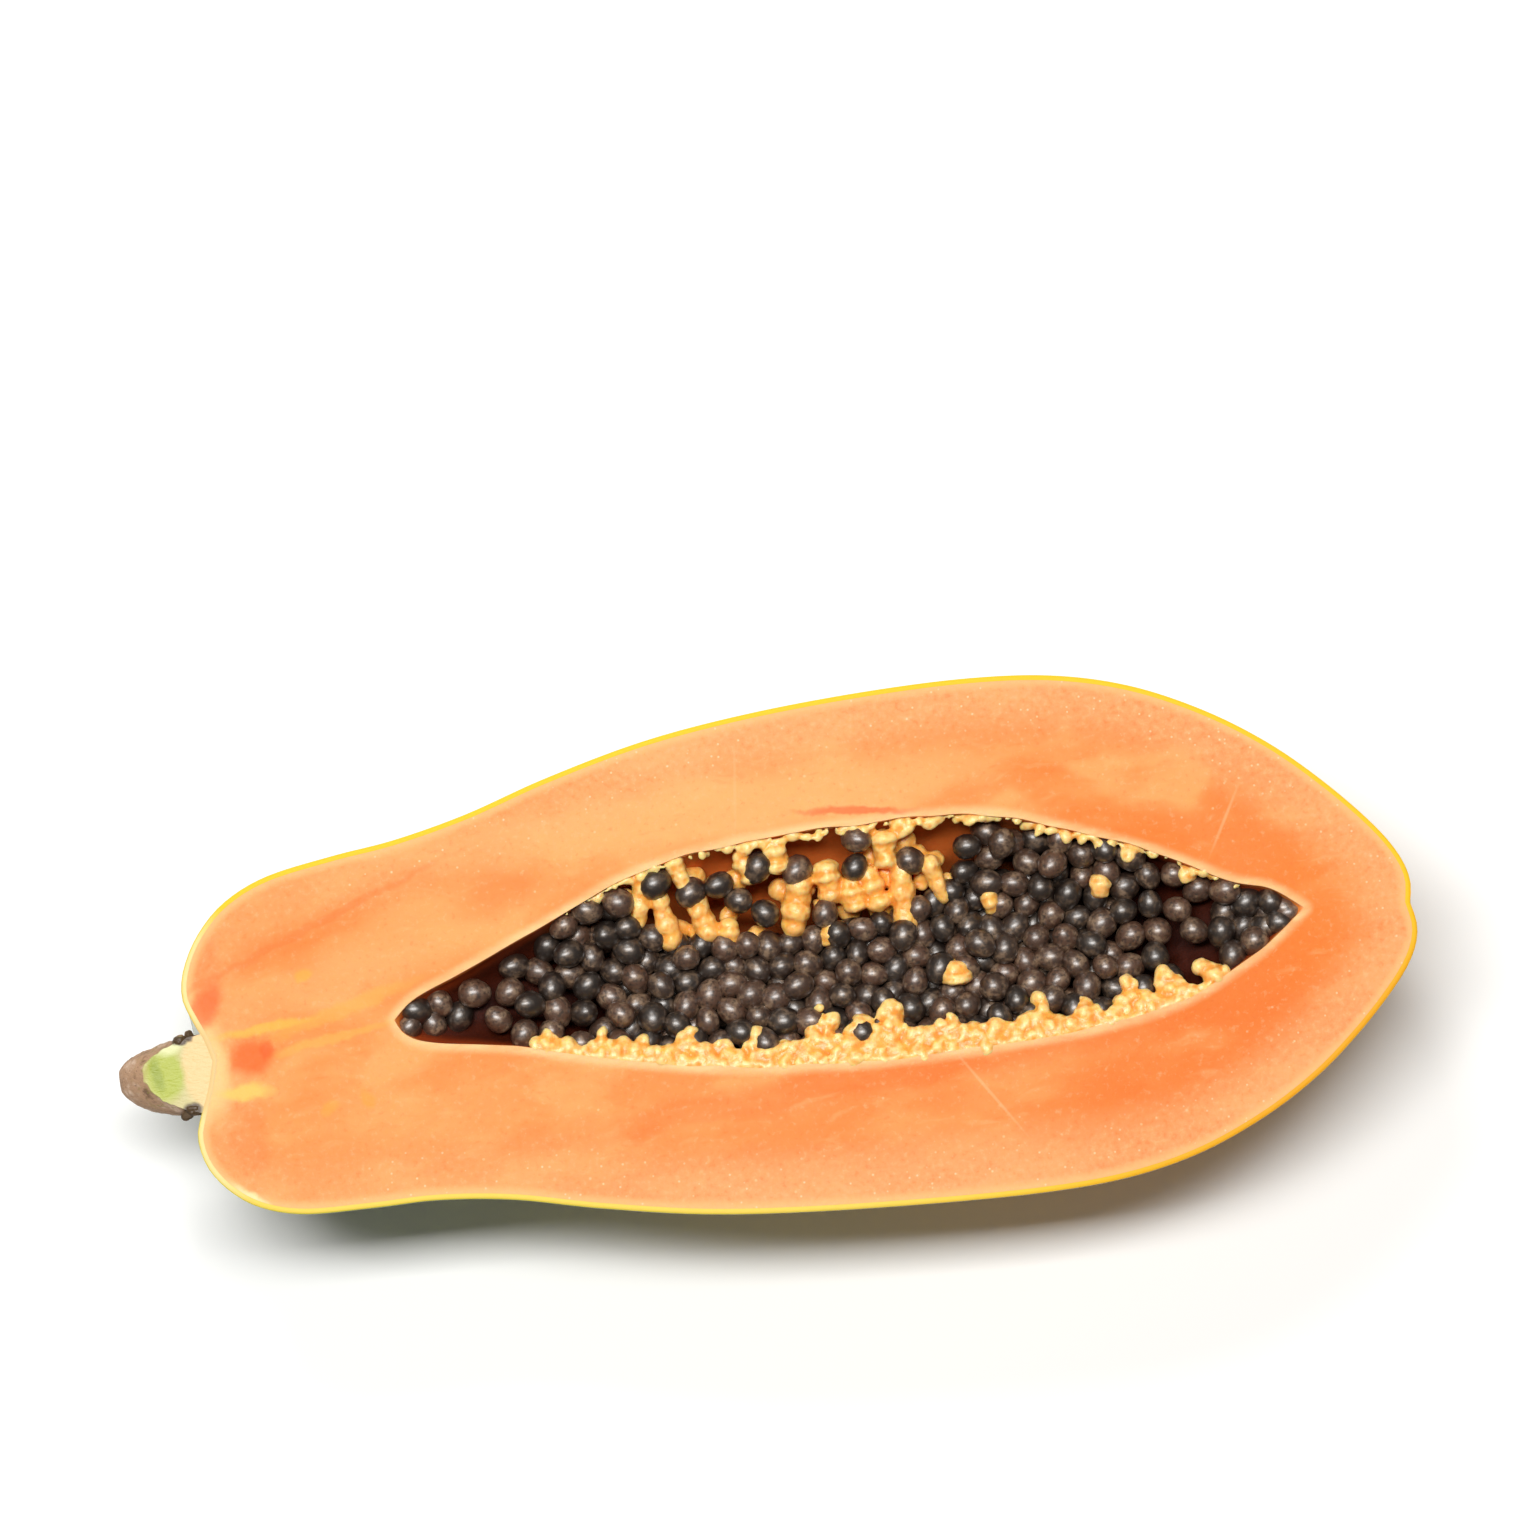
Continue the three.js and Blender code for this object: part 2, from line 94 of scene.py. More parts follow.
# The bed of packed seeds, and the shelf of pulp on the hollow's far wall
BED_DEEPEST = 8.5
BED_EDGE = 3.6
BED_TIP = 1.4
BED_LEAN = 1.2
CAVITY_WIDEST = 48
CAVITY_NARROW = 18
SHELF_CENTRE = (124, 21)
SHELF_SIZE = (35, 9.5)

# The stem stub
STEM_LENGTH = 18.5
STEM_RADIUS = 8.2
STEM_TAPER = 0.2
STEM_BLUNTNESS = 3.2
STEM_START = (0.6, -2.2, -1.5)
STEM_LEAN = (-STEM_LENGTH, 2, -8)
STEM_RIDGES = 3
STEM_RIDGE_HEIGHT = 0.05
STEM_TWIST = 4
STEM_STEPS = 26
STEM_SIDES = 48
STEM_SINK = 0.2
STEM_ROOT = 0.24

# Corky bits of scar where the stub meets the fruit: place, half sizes and turn
STEM_SCAR = [
    ((-3.4, 5.6, -0.9), (1.5, 1.1, 1), 0.2), ((-2, -8.8, -1), (1.7, 1.2, 1), -0.4),
    ((-3.6, -9.6, -1.8), (1.4, 1, 1), 0.5), ((-1.4, 6.4, -1.6), (1, 1.2, 1), 0),
]

# Where the fruit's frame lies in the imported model's frame
CUT_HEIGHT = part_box("stem")[1].z
REST_DEPTH = CUT_HEIGHT / MM
SIDE_SHIFT = -5.11 * MM
FRUIT_ORIGIN = Vector((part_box("half_fruit")[0].x - OUTLINE_LOWEST_X * MM, SIDE_SHIFT, CUT_HEIGHT))

# Mesh fineness: counts of steps, and the distance within which points become one
TABLE_STEPS = 600
ALONG_STEPS = 150
AROUND_STEPS = 56
FACE_STEPS = 24
RIM_STEPS = 3
MERGE_DISTANCE = 0.01

# The peel's skin lies a little inside the fruit's outline, and its rim is eased
PEEL_SINK = 0.2
RIM_EASE = 0.28

# How uneven the cut face is, the breadth of its swells, and how near its edges they fade out
FACE_SWELL = 0.12
FACE_SWELL_BREADTH = 16
FACE_SWELL_FADE = 4

# How uneven the hollow's wall is, as a share of its half width
WALL_UNEVENNESS = 0.03

# Distance that stands for far away, where the surface isn't on the cut face
FAR_FROM_SKIN = 20

# The shape of a loose seed, and how much seeds differ in size and lean
SEED_SEGMENTS = 10
SEED_RINGS = 7
SEED_TAPER = 0.12
SEED_SIZES = (0.93, 1.12)
SEED_FLATNESS = (0.92, 1.04)
SEED_LEAN = 0.5

# How loose seeds are packed, round by round: each lifts, drifts to a tip and is pushed by others
SEED_ROUNDS = 160
SEED_LIFT = 0.22
TIP_PULL = 0.5
SEED_PUSH = 0.32
SEED_PACKING = 0.99
SEED_RISES = (-2.6, 1.6)
HIGH_SEED_SHARE = 0.16
HIGH_SEED_RISE = 1.6
WALL_SEED_RISE = 2.2

# Room that a packed seed keeps, in radii: to the face, walls, both tips, shelf and near band of pulp
FACE_ROOM = 1.05
WALL_ROOM = 0.55
TIP_ROOM = (0.9, 1.1)
SHELF_ROOM = (0.5, 0.7)
BAND_ROOM = 0.6

# The share of the near band's reach that packed seeds keep out of, and down to what depth
BAND_SHARE = 0.6
BAND_DEPTH = 6

# Seeds that cling to the far wall, over the shelf of pulp: x and y
WALL_SEEDS = [
    (88.5, 22), (89.7, 16.7), (96.7, 24.8), (103.5, 22.1), (109.4, 22.9), (113, 19.4), (117.7, 25.3),
    (125.7, 23.8), (138.7, 28.4), (137.7, 23), (149.2, 22.7), (130.4, 14.6), (118.1, 16.2),
]

# Upright strands of pulp between them: x, y, half length across the hollow, half width
PULP_STRANDS = [
    (97.6, 17.5, 5, 2.2), (105.1, 17.5, 4.5, 2.6), (110.2, 12.5, 3, 2.2), (124.8, 17, 5, 2.7),
    (131.8, 20.8, 3.5, 3), (136.5, 17.5, 3, 2.4), (141, 18, 3.6, 2.4), (146.7, 15.5, 6, 2.5),
    (153.8, 18.6, 4, 2), (155.4, -1.1, 2, 3.2), (164.4, 12.5, 2, 1.8), (187, 12.5, 2, 1.9),
    (93.1, 21.5, 4, 2), (101.7, 26.3, 3, 2), (115.3, 26, 3, 2), (121.8, 27.4, 3, 2.4),
    (144.2, 25.6, 3, 2.4), (130.6, 10.6, 2.2, 1.8),
]
STRAND_LUMPS = 4
STRAND_RISE = 1.4
STRAND_SLOPE = 0.22

# Crumbs strewn over the shelf, and how far they keep from the hollow's edge
SHELF_CRUMBS = 34
SHELF_MARGIN = 2

# Clusters of crumbs that stand out of the near band of pulp: x, reach in from the hollow's edge
NEAR_CLUSTERS = [
    (71, 4), (81.5, 5.5), (90, 5), (99, 7), (105.5, 5.5), (113.5, 7), (119, 5.5), (127, 12.5),
    (134, 8), (140.5, 15), (152, 8), (163, 7), (171.5, 8), (178, 5), (189, 8.5), (198, 6.5), (206, 4),
]
CLUSTER_WIDTH = 2.8

# The bands of crumbs: where they start and end, and the near one's reach and spacing
NEAR_BAND = (68, 210)
NEAR_BAND_REACH = 4.6
NEAR_BAND_SPACING = 1.3
FAR_BAND = (78, 214)

# The pulp's roughness after it has grown together: height and breadth of its bumps
PULP_BUMP = 0.34
PULP_BUMP_BREADTH = 2.6

# The same for the bark, as a share of its radius, and for the cork of the scar
BARK_BUMP = 0.05
CORK_BUMP = 0.25
CORK_BUMP_BREADTH = 1.1
CORK_TILT = (0.3, 0.2)

# Zones of the flesh: colour, centre, half size, turn in degrees and strength
FLESH_ZONES = [
    ("E87F39", (33, 27), (40, 3.6), 17, 0.9),
    ("F4A260", (52, 22), (26, 7), 17, 0.8),
    ("EA7F3B", (66, 30), (9, 6), 20, 0.8),
    ("F4A364", (30, 13), (18, 5), 10, 0.7),
    ("F8B472", (112, 38), (58, 6), 2, 0.75),
    ("E67B2F", (192, 24), (26, 5), -38, 0.8),
    ("EC7531", (138, -21), (70, 3.5), 3, 0.9),
    ("EC833E", (150, -29), (75, 5), 3, 0.6),
    ("E4762E", (205, -20), (38, 12), 35, 0.8),
    ("E87E31", (232, 2), (16, 16), 0, 0.7),
    ("F49B59", (44, -16), (26, 5), -2, 0.6),
    ("E67536", (100, -38), (70, 5), 1, 0.4),
    ("F49E60", (130, -38), (60, 4), 3, 0.35),
    ("E6702C", (3.5, 20), (3, 7), 10, 0.9),
    ("E87733", (8, -16), (4, 10), 0, 0.7),
]

# Marks in the flesh, most by the stalk: colour, centre, half size, turn in degrees and strength
FLESH_MARKS = [
    ("F0C282", (1.6, -0.6), (4.4, 9.5), 4, 0.95),
    ("FFB848", (14, 5.6), (9, 1), 4, 0.6),
    ("FFA84A", (30, 7.4), (15, 1.5), 15, 0.5),
    ("FFB050", (27, 1.8), (12, 1), 8, 0.45),
    ("FFC464", (8.8, -6.6), (5, 1.4), 0, 0.8),
    ("F2682A", (11, 0.2), (4, 3.8), 10, 0.85),
    ("EC5A20", (14, 1.6), (1.4, 2), 0, 0.6),
    ("FFA63C", (23.3, 15.3), (1.6, 1.3), 0, 0.6),
    ("FFA040", (25.6, -12.2), (2, 1.2), 25, 0.5),
    ("FF9E3C", (33.1, -11.3), (1.4, 2.2), 20, 0.5),
    ("FFE0A8", (10, -30.5), (7.5, 1.4), -42, 0.9),
    ("DC6A28", (25.6, 24.9), (29, 0.8), 20, 0.35),
    ("E2602A", (2.6, 11.5), (5, 2.6), 55, 0.7),
    ("E04C1C", (139, 34), (11, 0.8), -7, 0.6),
]

# Lines left by the knife: colour, centre, half size, turn in degrees and strength
KNIFE_LINES = [
    ("F8B47E", (115.3, 41.6), (0.3, 8), -7, 0.3),
    ("FAC08C", (158.5, -26.7), (9.4, 0.3), -57, 0.35),
    ("FAC08C", (213.8, 22.3), (6.6, 0.3), 60, 0.35),
]

# Half size of a mark along z, so that it is the same at every depth
ENDLESS = 1000

# The camera: the photo's size in pixels, where the fruit's middle lies in it, scale, angles and lens
PHOTO_SIZE = 1540
FRUIT_IN_PHOTO = (809, 984)
FRUIT_MIDDLE = (125, 0)
MM_PER_PIXEL = 0.2034
CAMERA_AZIMUTH = -7.63
CAMERA_ELEVATION = 82
LENS = 100
SENSOR = 36
NEAREST_VISIBLE = 0.01

# The table's width in metres, and the strength of the light from all round
FLOOR_SIZE = 6
WORLD_STRENGTH = 0.12

# Lights: name, place in metres, size in metres and power in watts
LIGHTS = [
    ("overhead_strip", (-0.12, 0.15, 1.2), (0.8, 0.2), 15.5),
    ("back_softbox", (-0.16, 0.72, 0.98), (0.26, 0.18), 2.9),
]


def linear(code):
    """Turns an sRGB hex colour such as FFAA6A to linear red, green, blue and alpha."""
    channels = [int(code[i:i + 2], 16) / 255 for i in (0, 2, 4)]
    bent = [c / 12.92 if c <= 0.04045 else ((c + 0.055) / 1.055) ** 2.4 for c in channels]
    return (*bent, 1)


def colour_property(name, code, description):
    """A colour that the user can change, with its default given in hex."""
    return bpy.props.FloatVectorProperty(
        name=name, description=description, subtype="COLOR", size=4, min=0, max=1, default=linear(code)
    )


def length_property(name, millimetres, description):
    """A length that the user can change, with its default given in millimetres."""
    return bpy.props.FloatProperty(
        name=name, description=description, unit="LENGTH", min=0, default=millimetres * MM
    )


class PapayaSizes(bpy.types.PropertyGroup):
    """Sizes of the papaya's pieces."""

    peel: length_property("Peel", 1.3, "Thickness of the peel")
    seed_length: length_property("Seed length", 6.5, "Length of a seed in its jelly coat")
    seed_width: length_property("Seed width", 5.7, "Width of a seed in its jelly coat")
    crumb: length_property("Crumb", 1.7, "Typical radius of a crumb of pulp")
    pulp_grain: length_property("Pulp grain", 0.42, "Finest detail in the pulp")
    seeds: bpy.props.IntProperty(
        name="Seeds", description="Loose seeds packed in the hollow", default=330, min=1, max=600
    )


class PapayaColours(bpy.types.PropertyGroup):
    """Colours of the papaya's surfaces."""

    flesh: colour_property("Flesh", "EC8D49", "Most of the cut flesh")
    rim: colour_property("Rim", "F4BE0E", "The cut edge of the peel")
    peel_ripe: colour_property("Ripe peel", "E2A208", "The peel at the blossom end")
    peel_green: colour_property("Green peel", "5C701C", "The peel at the stalk")
    pulp: colour_property("Pulp", "EE9E42", "The crumbs round the hollow")
    seed: colour_property("Seed", "1C1410", "The darkest seeds")
    bark: colour_property("Bark", "B08A6A", "The dry skin of the stalk")
    stalk_cut: colour_property("Cut stalk", "C2B67A", "The stalk's fresh cut face")


def clamp(value, low, high):
    return min(high, max(low, value))


def mix(a, b, share):
    return a + (b - a) * share


def spline_points(points, count):
    """Evenly counted points on the smooth curve through the given points."""
    found = []
    last = len(points) - 1
    for k in range(count + 1):
        spot = last * k / count
        i = min(int(spot), last - 1)
        t = spot - i
        before, start, end, after = (Vector(points[clamp(i + d, 0, last)]) for d in (-1, 0, 1, 2))
        leave = (end - before) / 2
        arrive = (after - start) / 2
        found.append(
            (2 * start - 2 * end + leave + arrive) * t ** 3
            + (3 * end - 3 * start - 2 * leave - arrive) * t ** 2
            + leave * t
            + start
        )
    return found


def height_table(points):
    """Arrays of x and height along a spline, for splines whose x always grows."""
    found = spline_points(points, TABLE_STEPS)
    return np.array([p.x for p in found]), np.array([p.y for p in found])


FAR_TABLE = height_table(CAVITY_FAR)
NEAR_TABLE = height_table(CAVITY_NEAR)


def cavity_far(x):
    return np.interp(x, *FAR_TABLE)


def cavity_near(x):
    return np.interp(x, *NEAR_TABLE)


def cavity_middle(x):
    return (cavity_far(x) + cavity_near(x)) / 2


def cavity_half(x):
    return (cavity_far(x) - cavity_near(x)) / 2


def midline(x):
    return BEND * math.sin(math.pi * clamp(x / FRUIT_LENGTH, 0, 1)) ** BEND_SHAPE


def bed_depth(x, y):
    """How far the bed of seeds lies below the cut face."""
    width = np.maximum(cavity_far(x) - cavity_near(x), 0.01)
    across = np.clip((y - cavity_near(x)) / width, 0, 1)
    edge = mix(BED_TIP, BED_EDGE, np.clip(width / CAVITY_NARROW, 0, 1))
    deepening = (BED_DEEPEST - BED_EDGE) * np.clip(width / CAVITY_WIDEST, 0, 1)
    return edge + deepening * np.sin(np.pi * across ** BED_LEAN)


def placed(x, y, z):
    """A point of the fruit's frame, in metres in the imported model's frame."""
    return Vector((x, y, z)) * MM + FRUIT_ORIGIN


def outline_profile(inset):
    """Evenly spaced points along the outline, moved inwards by an inset."""
    fine = spline_points(OUTLINE, TABLE_STEPS)
    lengths = np.cumsum([0] + [(b - a).length for a, b in zip(fine, fine[1:])])
    wanted = np.linspace(0, lengths[-1], ALONG_STEPS + 1)
    xs = np.interp(wanted, lengths, [p.x for p in fine])
    radii = np.interp(wanted, lengths, [p.y for p in fine])
    slope_x = np.gradient(xs)
    slope_r = np.gradient(radii)
    size = np.hypot(slope_x, slope_r)
    inner_x = xs + inset * slope_r / size
    inner_r = np.maximum(radii - inset * slope_x / size, 0)
    inner_r[0] = inner_r[-1] = 0
    return list(zip(inner_x, inner_r))


def cavity_profile():
    """Points along the hollow with its half width there, closer together at its ends."""
    shares = (1 - np.cos(np.linspace(0, math.pi, ALONG_STEPS + 1))) / 2
    xs = mix(CAVITY_START, CAVITY_END, mix(shares, np.linspace(0, 1, ALONG_STEPS + 1), 0.5))
    return [(x, max(0, float(cavity_half(x)))) for x in xs]


def fruit_point(x, radius, angle, inset):
    """A point of the fruit's surface. The belly is flat where it rests."""
    tip_share = math.exp(-max(0, FRUIT_LENGTH - x) / RIB_TIP_REACH)
    rib = mix(RIB_BELLY, RIB_TIP, tip_share)
    r = radius * (1 + rib * math.cos(RIB_COUNT * (angle - RIB_TURN)))
    depth = 1 + NECK_SAG * math.exp(-(((x - NECK_SAG_AT) / NECK_SAG_SPREAD) ** 2))
    z = max(r * depth * math.sin(angle), inset - REST_DEPTH)
    return placed(x, midline(x) + r * math.cos(angle), z)


def cavity_point(x, half, angle):
    """A point of the hollow's wall, which is slightly uneven."""
    unevenness = 1 + WALL_UNEVENNESS * noise.noise(Vector((x / 9, angle * 2.5, 0)))
    y = float(cavity_middle(x)) + half * unevenness * math.cos(angle)
    return placed(x, y, half * unevenness * CAVITY_ROUNDNESS * math.sin(angle))


def deselect_all():
    if bpy.context.object and bpy.context.object.mode == "EDIT":
        bpy.ops.object.mode_set(mode="OBJECT")
    bpy.ops.object.select_all(action="DESELECT")


def make_active(piece):
    deselect_all()
    piece.select_set(True)
    bpy.context.view_layer.objects.active = piece


def join(pieces, name):
    """Joins objects in one, at the origin, with every place in the mesh."""
    deselect_all()
    for piece in pieces:
        piece.select_set(True)
    bpy.context.view_layer.objects.active = pieces[0]
    bpy.ops.object.join()
    bpy.ops.object.transform_apply(location=True, rotation=True, scale=True)
    whole = bpy.context.object
    whole.name = name
    whole.data.name = name
    return whole


def add_ring_body(outer, inner, face_steps):
    """A closed body made of a grid that wraps round it: outer skin, near face, inner skin, far face.

    outer and inner are functions of a column and an angle. The grid's two ends close to a line.
    """
    turns = 2 * (AROUND_STEPS + face_steps)
    deselect_all()
    bpy.ops.mesh.primitive_grid_add(x_subdivisions=ALONG_STEPS, y_subdivisions=turns, size=1)
    body = bpy.context.object
    for vertex in body.data.vertices:
        column = round((vertex.co.x + 0.5) * ALONG_STEPS)
        row = round((vertex.co.y + 0.5) * turns)
        vertex.co = ring_point(outer, inner, column, row, face_steps)
    bpy.ops.object.mode_set(mode="EDIT")
    bpy.ops.mesh.select_all(action="SELECT")
    bpy.ops.mesh.remove_doubles(threshold=MERGE_DISTANCE * MM)
    bpy.ops.mesh.normals_make_consistent(inside=False)
    bpy.ops.object.mode_set(mode="OBJECT")
    return body


def ring_point(outer, inner, column, row, face_steps):
    if row <= AROUND_STEPS:
        return outer(column, -math.pi * row / AROUND_STEPS)
    row -= AROUND_STEPS
    if row < face_steps:
        return outer(column, -math.pi).lerp(inner(column, -math.pi), row / face_steps)
    row -= face_steps
    if row <= AROUND_STEPS:
        return inner(column, math.pi * (row / AROUND_STEPS - 1))
    row -= AROUND_STEPS
    return inner(column, 0).lerp(outer(column, 0), row / face_steps)


def shade_smooth(piece, degrees=40):
    make_active(piece)
    bpy.ops.object.shade_smooth_by_angle(angle=math.radians(degrees), keep_sharp_edges=True)


def cut_edge_tree(curves):
    """A search tree of points along curves on the cut face, in millimetres."""
    points = [point for curve in curves for point in curve]
    tree = kdtree.KDTree(len(points))
    for i, (x, y) in enumerate(points):
        tree.insert((x, y, 0), i)
    tree.balance()
    return tree


def write_distances(piece):
    """Stores for each point its distance in mm from the fruit's skin and from the hollow's edge.

    On the hollow's wall the second is the height over the cut face, so it is below 0 there.
    """
    outer = spline_points(OUTLINE, TABLE_STEPS * 2)
    skin = cut_edge_tree([[(p.x, midline(p.x) + side * p.y) for p in outer] for side in (1, -1)])
    hollow = cut_edge_tree([list(zip(*FAR_TABLE)), list(zip(*NEAR_TABLE))])
    skin_value = piece.data.attributes.new("skin_mm", "FLOAT", "POINT")
    hollow_value = piece.data.attributes.new("hollow_mm", "FLOAT", "POINT")
    for i, vertex in enumerate(piece.data.vertices):
        x, y, z = (vertex.co - FRUIT_ORIGIN) / MM
        half = float(cavity_half(x))
        inside = half > 0 and abs(y - float(cavity_middle(x))) < half + 0.05
        skin_value.data[i].value = skin.find((x, y, 0))[2] if z > -0.5 else FAR_FROM_SKIN
        hollow_value.data[i].value = z if inside and z < -0.3 else hollow.find((x, y, 0))[2]


def finish_piece(piece, name, nodes, materials):
    """Names a piece, gives it its materials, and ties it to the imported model."""
    piece.name = name
    piece.data.name = name
    piece.data.materials.clear()
    for material in materials:
        piece.data.materials.append(material)
    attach(piece, "root")
    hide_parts(*nodes)


def make_flesh():
    sizes = bpy.context.scene.papaya_sizes
    inset = sizes.peel / MM
    skin = outline_profile(inset)
    hollow = cavity_profile()
    flesh = add_ring_body(
        lambda column, angle: fruit_point(*skin[column], angle, inset),
        lambda column, angle: cavity_point(*hollow[column], angle),
        FACE_STEPS,
    )
    write_distances(flesh)
    wave_cut_face(flesh, inset)
    shade_smooth(flesh)
    finish_piece(flesh, "flesh", ["half_fruit"], [flesh_material()])


def wave_cut_face(piece, inset):
    """The knife leaves the face very slightly uneven between its edges."""
    skin = piece.data.attributes["skin_mm"].data
    hollow = piece.data.attributes["hollow_mm"].data
    for i, vertex in enumerate(piece.data.vertices):
        if vertex.co.z > CUT_HEIGHT - MERGE_DISTANCE * MM:
            from_edge = min(skin[i].value - inset, hollow[i].value)
            share = clamp(from_edge / FACE_SWELL_FADE, 0, 1)
            swell = noise.fractal(vertex.co / (FACE_SWELL_BREADTH * MM), 0.6, 2, 3)
            vertex.co.z -= FACE_SWELL * MM * share * (1 - swell)


def make_peel():
    sizes = bpy.context.scene.papaya_sizes
    inset = sizes.peel / MM
    skin = outline_profile(PEEL_SINK)
    lining = outline_profile(inset)
    peel = add_ring_body(
        lambda column, angle: fruit_point(*skin[column], angle, PEEL_SINK),
        lambda column, angle: fruit_point(*lining[column], angle, inset),
        RIM_STEPS,
    )
    write_distances(peel)
    ease_rim(peel)
    shade_smooth(peel)
    finish_piece(peel, "peel", ["half_fruit"], [peel_material()])


def ease_rim(peel):
    """Lowers the rim's outer edge a little, so that it isn't sharp."""
    skin = peel.data.attributes["skin_mm"].data
    for i, vertex in enumerate(peel.data.vertices):
        if vertex.co.z > CUT_HEIGHT - MERGE_DISTANCE * MM and skin[i].value < 2 * PEEL_SINK:
            vertex.co.z -= RIM_EASE * MM


def make_lump(segments, rings):
    """One smooth ball of radius 1, to be copied."""
    deselect_all()
    bpy.ops.mesh.primitive_uv_sphere_add(segments=segments, ring_count=rings, radius=1)
    lump = bpy.context.object
    bpy.ops.object.shade_smooth()
    return lump


def copy_lump(lump, at, size, turn):
    """A copy of a lump with its own mesh, at a place in the fruit's frame, with three half sizes."""
    mesh = lump.data.copy()
    mesh.transform(Matrix.Diagonal((*[value * MM for value in size], 1)))
    mesh.transform(Euler(turn).to_matrix().to_4x4())
    mesh.transform(Matrix.Translation(placed(*at)))
    copy = bpy.data.objects.new("lump", mesh)
    bpy.context.scene.collection.objects.link(copy)
    return copy


def near_reach(x):
    """How far the near band of pulp reaches in from the hollow's edge."""
    share = clamp((x - NEAR_BAND[0]) / (NEAR_BAND[1] - NEAR_BAND[0]), 0, 1)
    reach = NEAR_BAND_REACH * math.sin(math.pi * share) ** 0.6
    for middle, height in NEAR_CLUSTERS:
        reach = max(reach, height * math.exp(-(((x - middle) / CLUSTER_WIDTH) ** 2)))
    return reach


def pulp_lumps(rng, crumb):
    """Places, sizes and turns of all the crumbs and strands of pulp."""
    lumps = []

    def put(x, y, z, size):
        turn = [rng.uniform(-0.5, 0.5), rng.uniform(-0.5, 0.5), rng.uniform(0, math.pi)]
        lumps.append(((x, y, z), size, turn))

    x = NEAR_BAND[0]
    while x < NEAR_BAND[1]:
        reach = near_reach(x)
        edge = float(cavity_near(x))
        radius = crumb * rng.uniform(0.5, 0.9) * clamp(reach / 2, 0.4, 1)
        put(x, edge + 0.3, -radius * rng.uniform(0.95, 1.2), [radius * 1.3, radius, radius])
        for _ in range(1 + int(reach * 0.5)):
            across = rng.uniform(0, reach)
            radius = crumb * rng.uniform(0.45, 1.25)
            z = -radius * rng.uniform(0.8, 1.2) - 0.2 * across
            size = [radius * rng.uniform(0.8, 1.4), radius * rng.uniform(0.8, 1.5), radius]
            put(x + rng.uniform(-1, 1), edge + 0.2 + across, z, size)
        x += NEAR_BAND_SPACING
    x = FAR_BAND[0]
    while x < FAR_BAND[1]:
        radius = crumb * rng.uniform(0.2, 0.75)
        hang = radius * rng.uniform(0.8, 2.4)
        y = float(cavity_far(x)) - hang * rng.uniform(0, 0.9)
        put(x, y, -radius * rng.uniform(1, 2.4), [radius * rng.uniform(0.8, 1.7), hang, radius])
        x += rng.uniform(0.5, 2.6)
    for x, y, half_length, half_width in PULP_STRANDS:
        lean = rng.uniform(-0.35, 0.35)
        for k in range(STRAND_LUMPS):
            slide = (k - (STRAND_LUMPS - 1) / 2) * half_length * 2 / STRAND_LUMPS
            radius = half_width * rng.uniform(0.85, 1.25)
            z = -float(bed_depth(x, y)) + STRAND_RISE + STRAND_SLOPE * slide + rng.uniform(-0.5, 0.5)
            size = [radius, half_length * rng.uniform(0.5, 0.65), radius * 1.1]
            lumps.append(((x + lean * slide, y + slide, z), size, [0.2, 0, -lean]))
    for _ in range(SHELF_CRUMBS):
        angle = rng.uniform(0, 2 * math.pi)
        share = math.sqrt(rng.random())
        x = SHELF_CENTRE[0] + SHELF_SIZE[0] * share * math.cos(angle)
        y = SHELF_CENTRE[1] + SHELF_SIZE[1] * share * math.sin(angle)
        if cavity_half(x) - abs(y - cavity_middle(x)) > SHELF_MARGIN:
            radius = crumb * rng.uniform(0.6, 1.3)
            z = -float(bed_depth(x, y)) - radius * rng.uniform(0.9, 1.5)
            put(x, y, z, [radius * rng.uniform(1, 1.6), radius * rng.uniform(1, 1.6), radius])
    return lumps


def make_pulp():
    sizes = bpy.context.scene.papaya_sizes
    rng = random.Random(41)
    lump = make_lump(16, 10)
    copies = [copy_lump(lump, *place) for place in pulp_lumps(rng, sizes.crumb / MM)]
    bpy.data.objects.remove(lump)
    pulp = join(copies, "pulp")
    remesh = pulp.modifiers.new("Grow together", "REMESH")
    remesh.mode = "VOXEL"
    remesh.voxel_size = sizes.pulp_grain
    bpy.ops.object.modifier_apply(modifier=remesh.name)
    roughen(pulp, PULP_BUMP, PULP_BUMP_BREADTH)
    smooth = pulp.modifiers.new("Soften", "SMOOTH")
    smooth.factor = 0.5
    smooth.iterations = 3
    bpy.ops.object.modifier_apply(modifier=smooth.name)
    bpy.ops.object.shade_smooth()
    finish_piece(pulp, "pulp", ["half_fruit"], [pulp_material()])


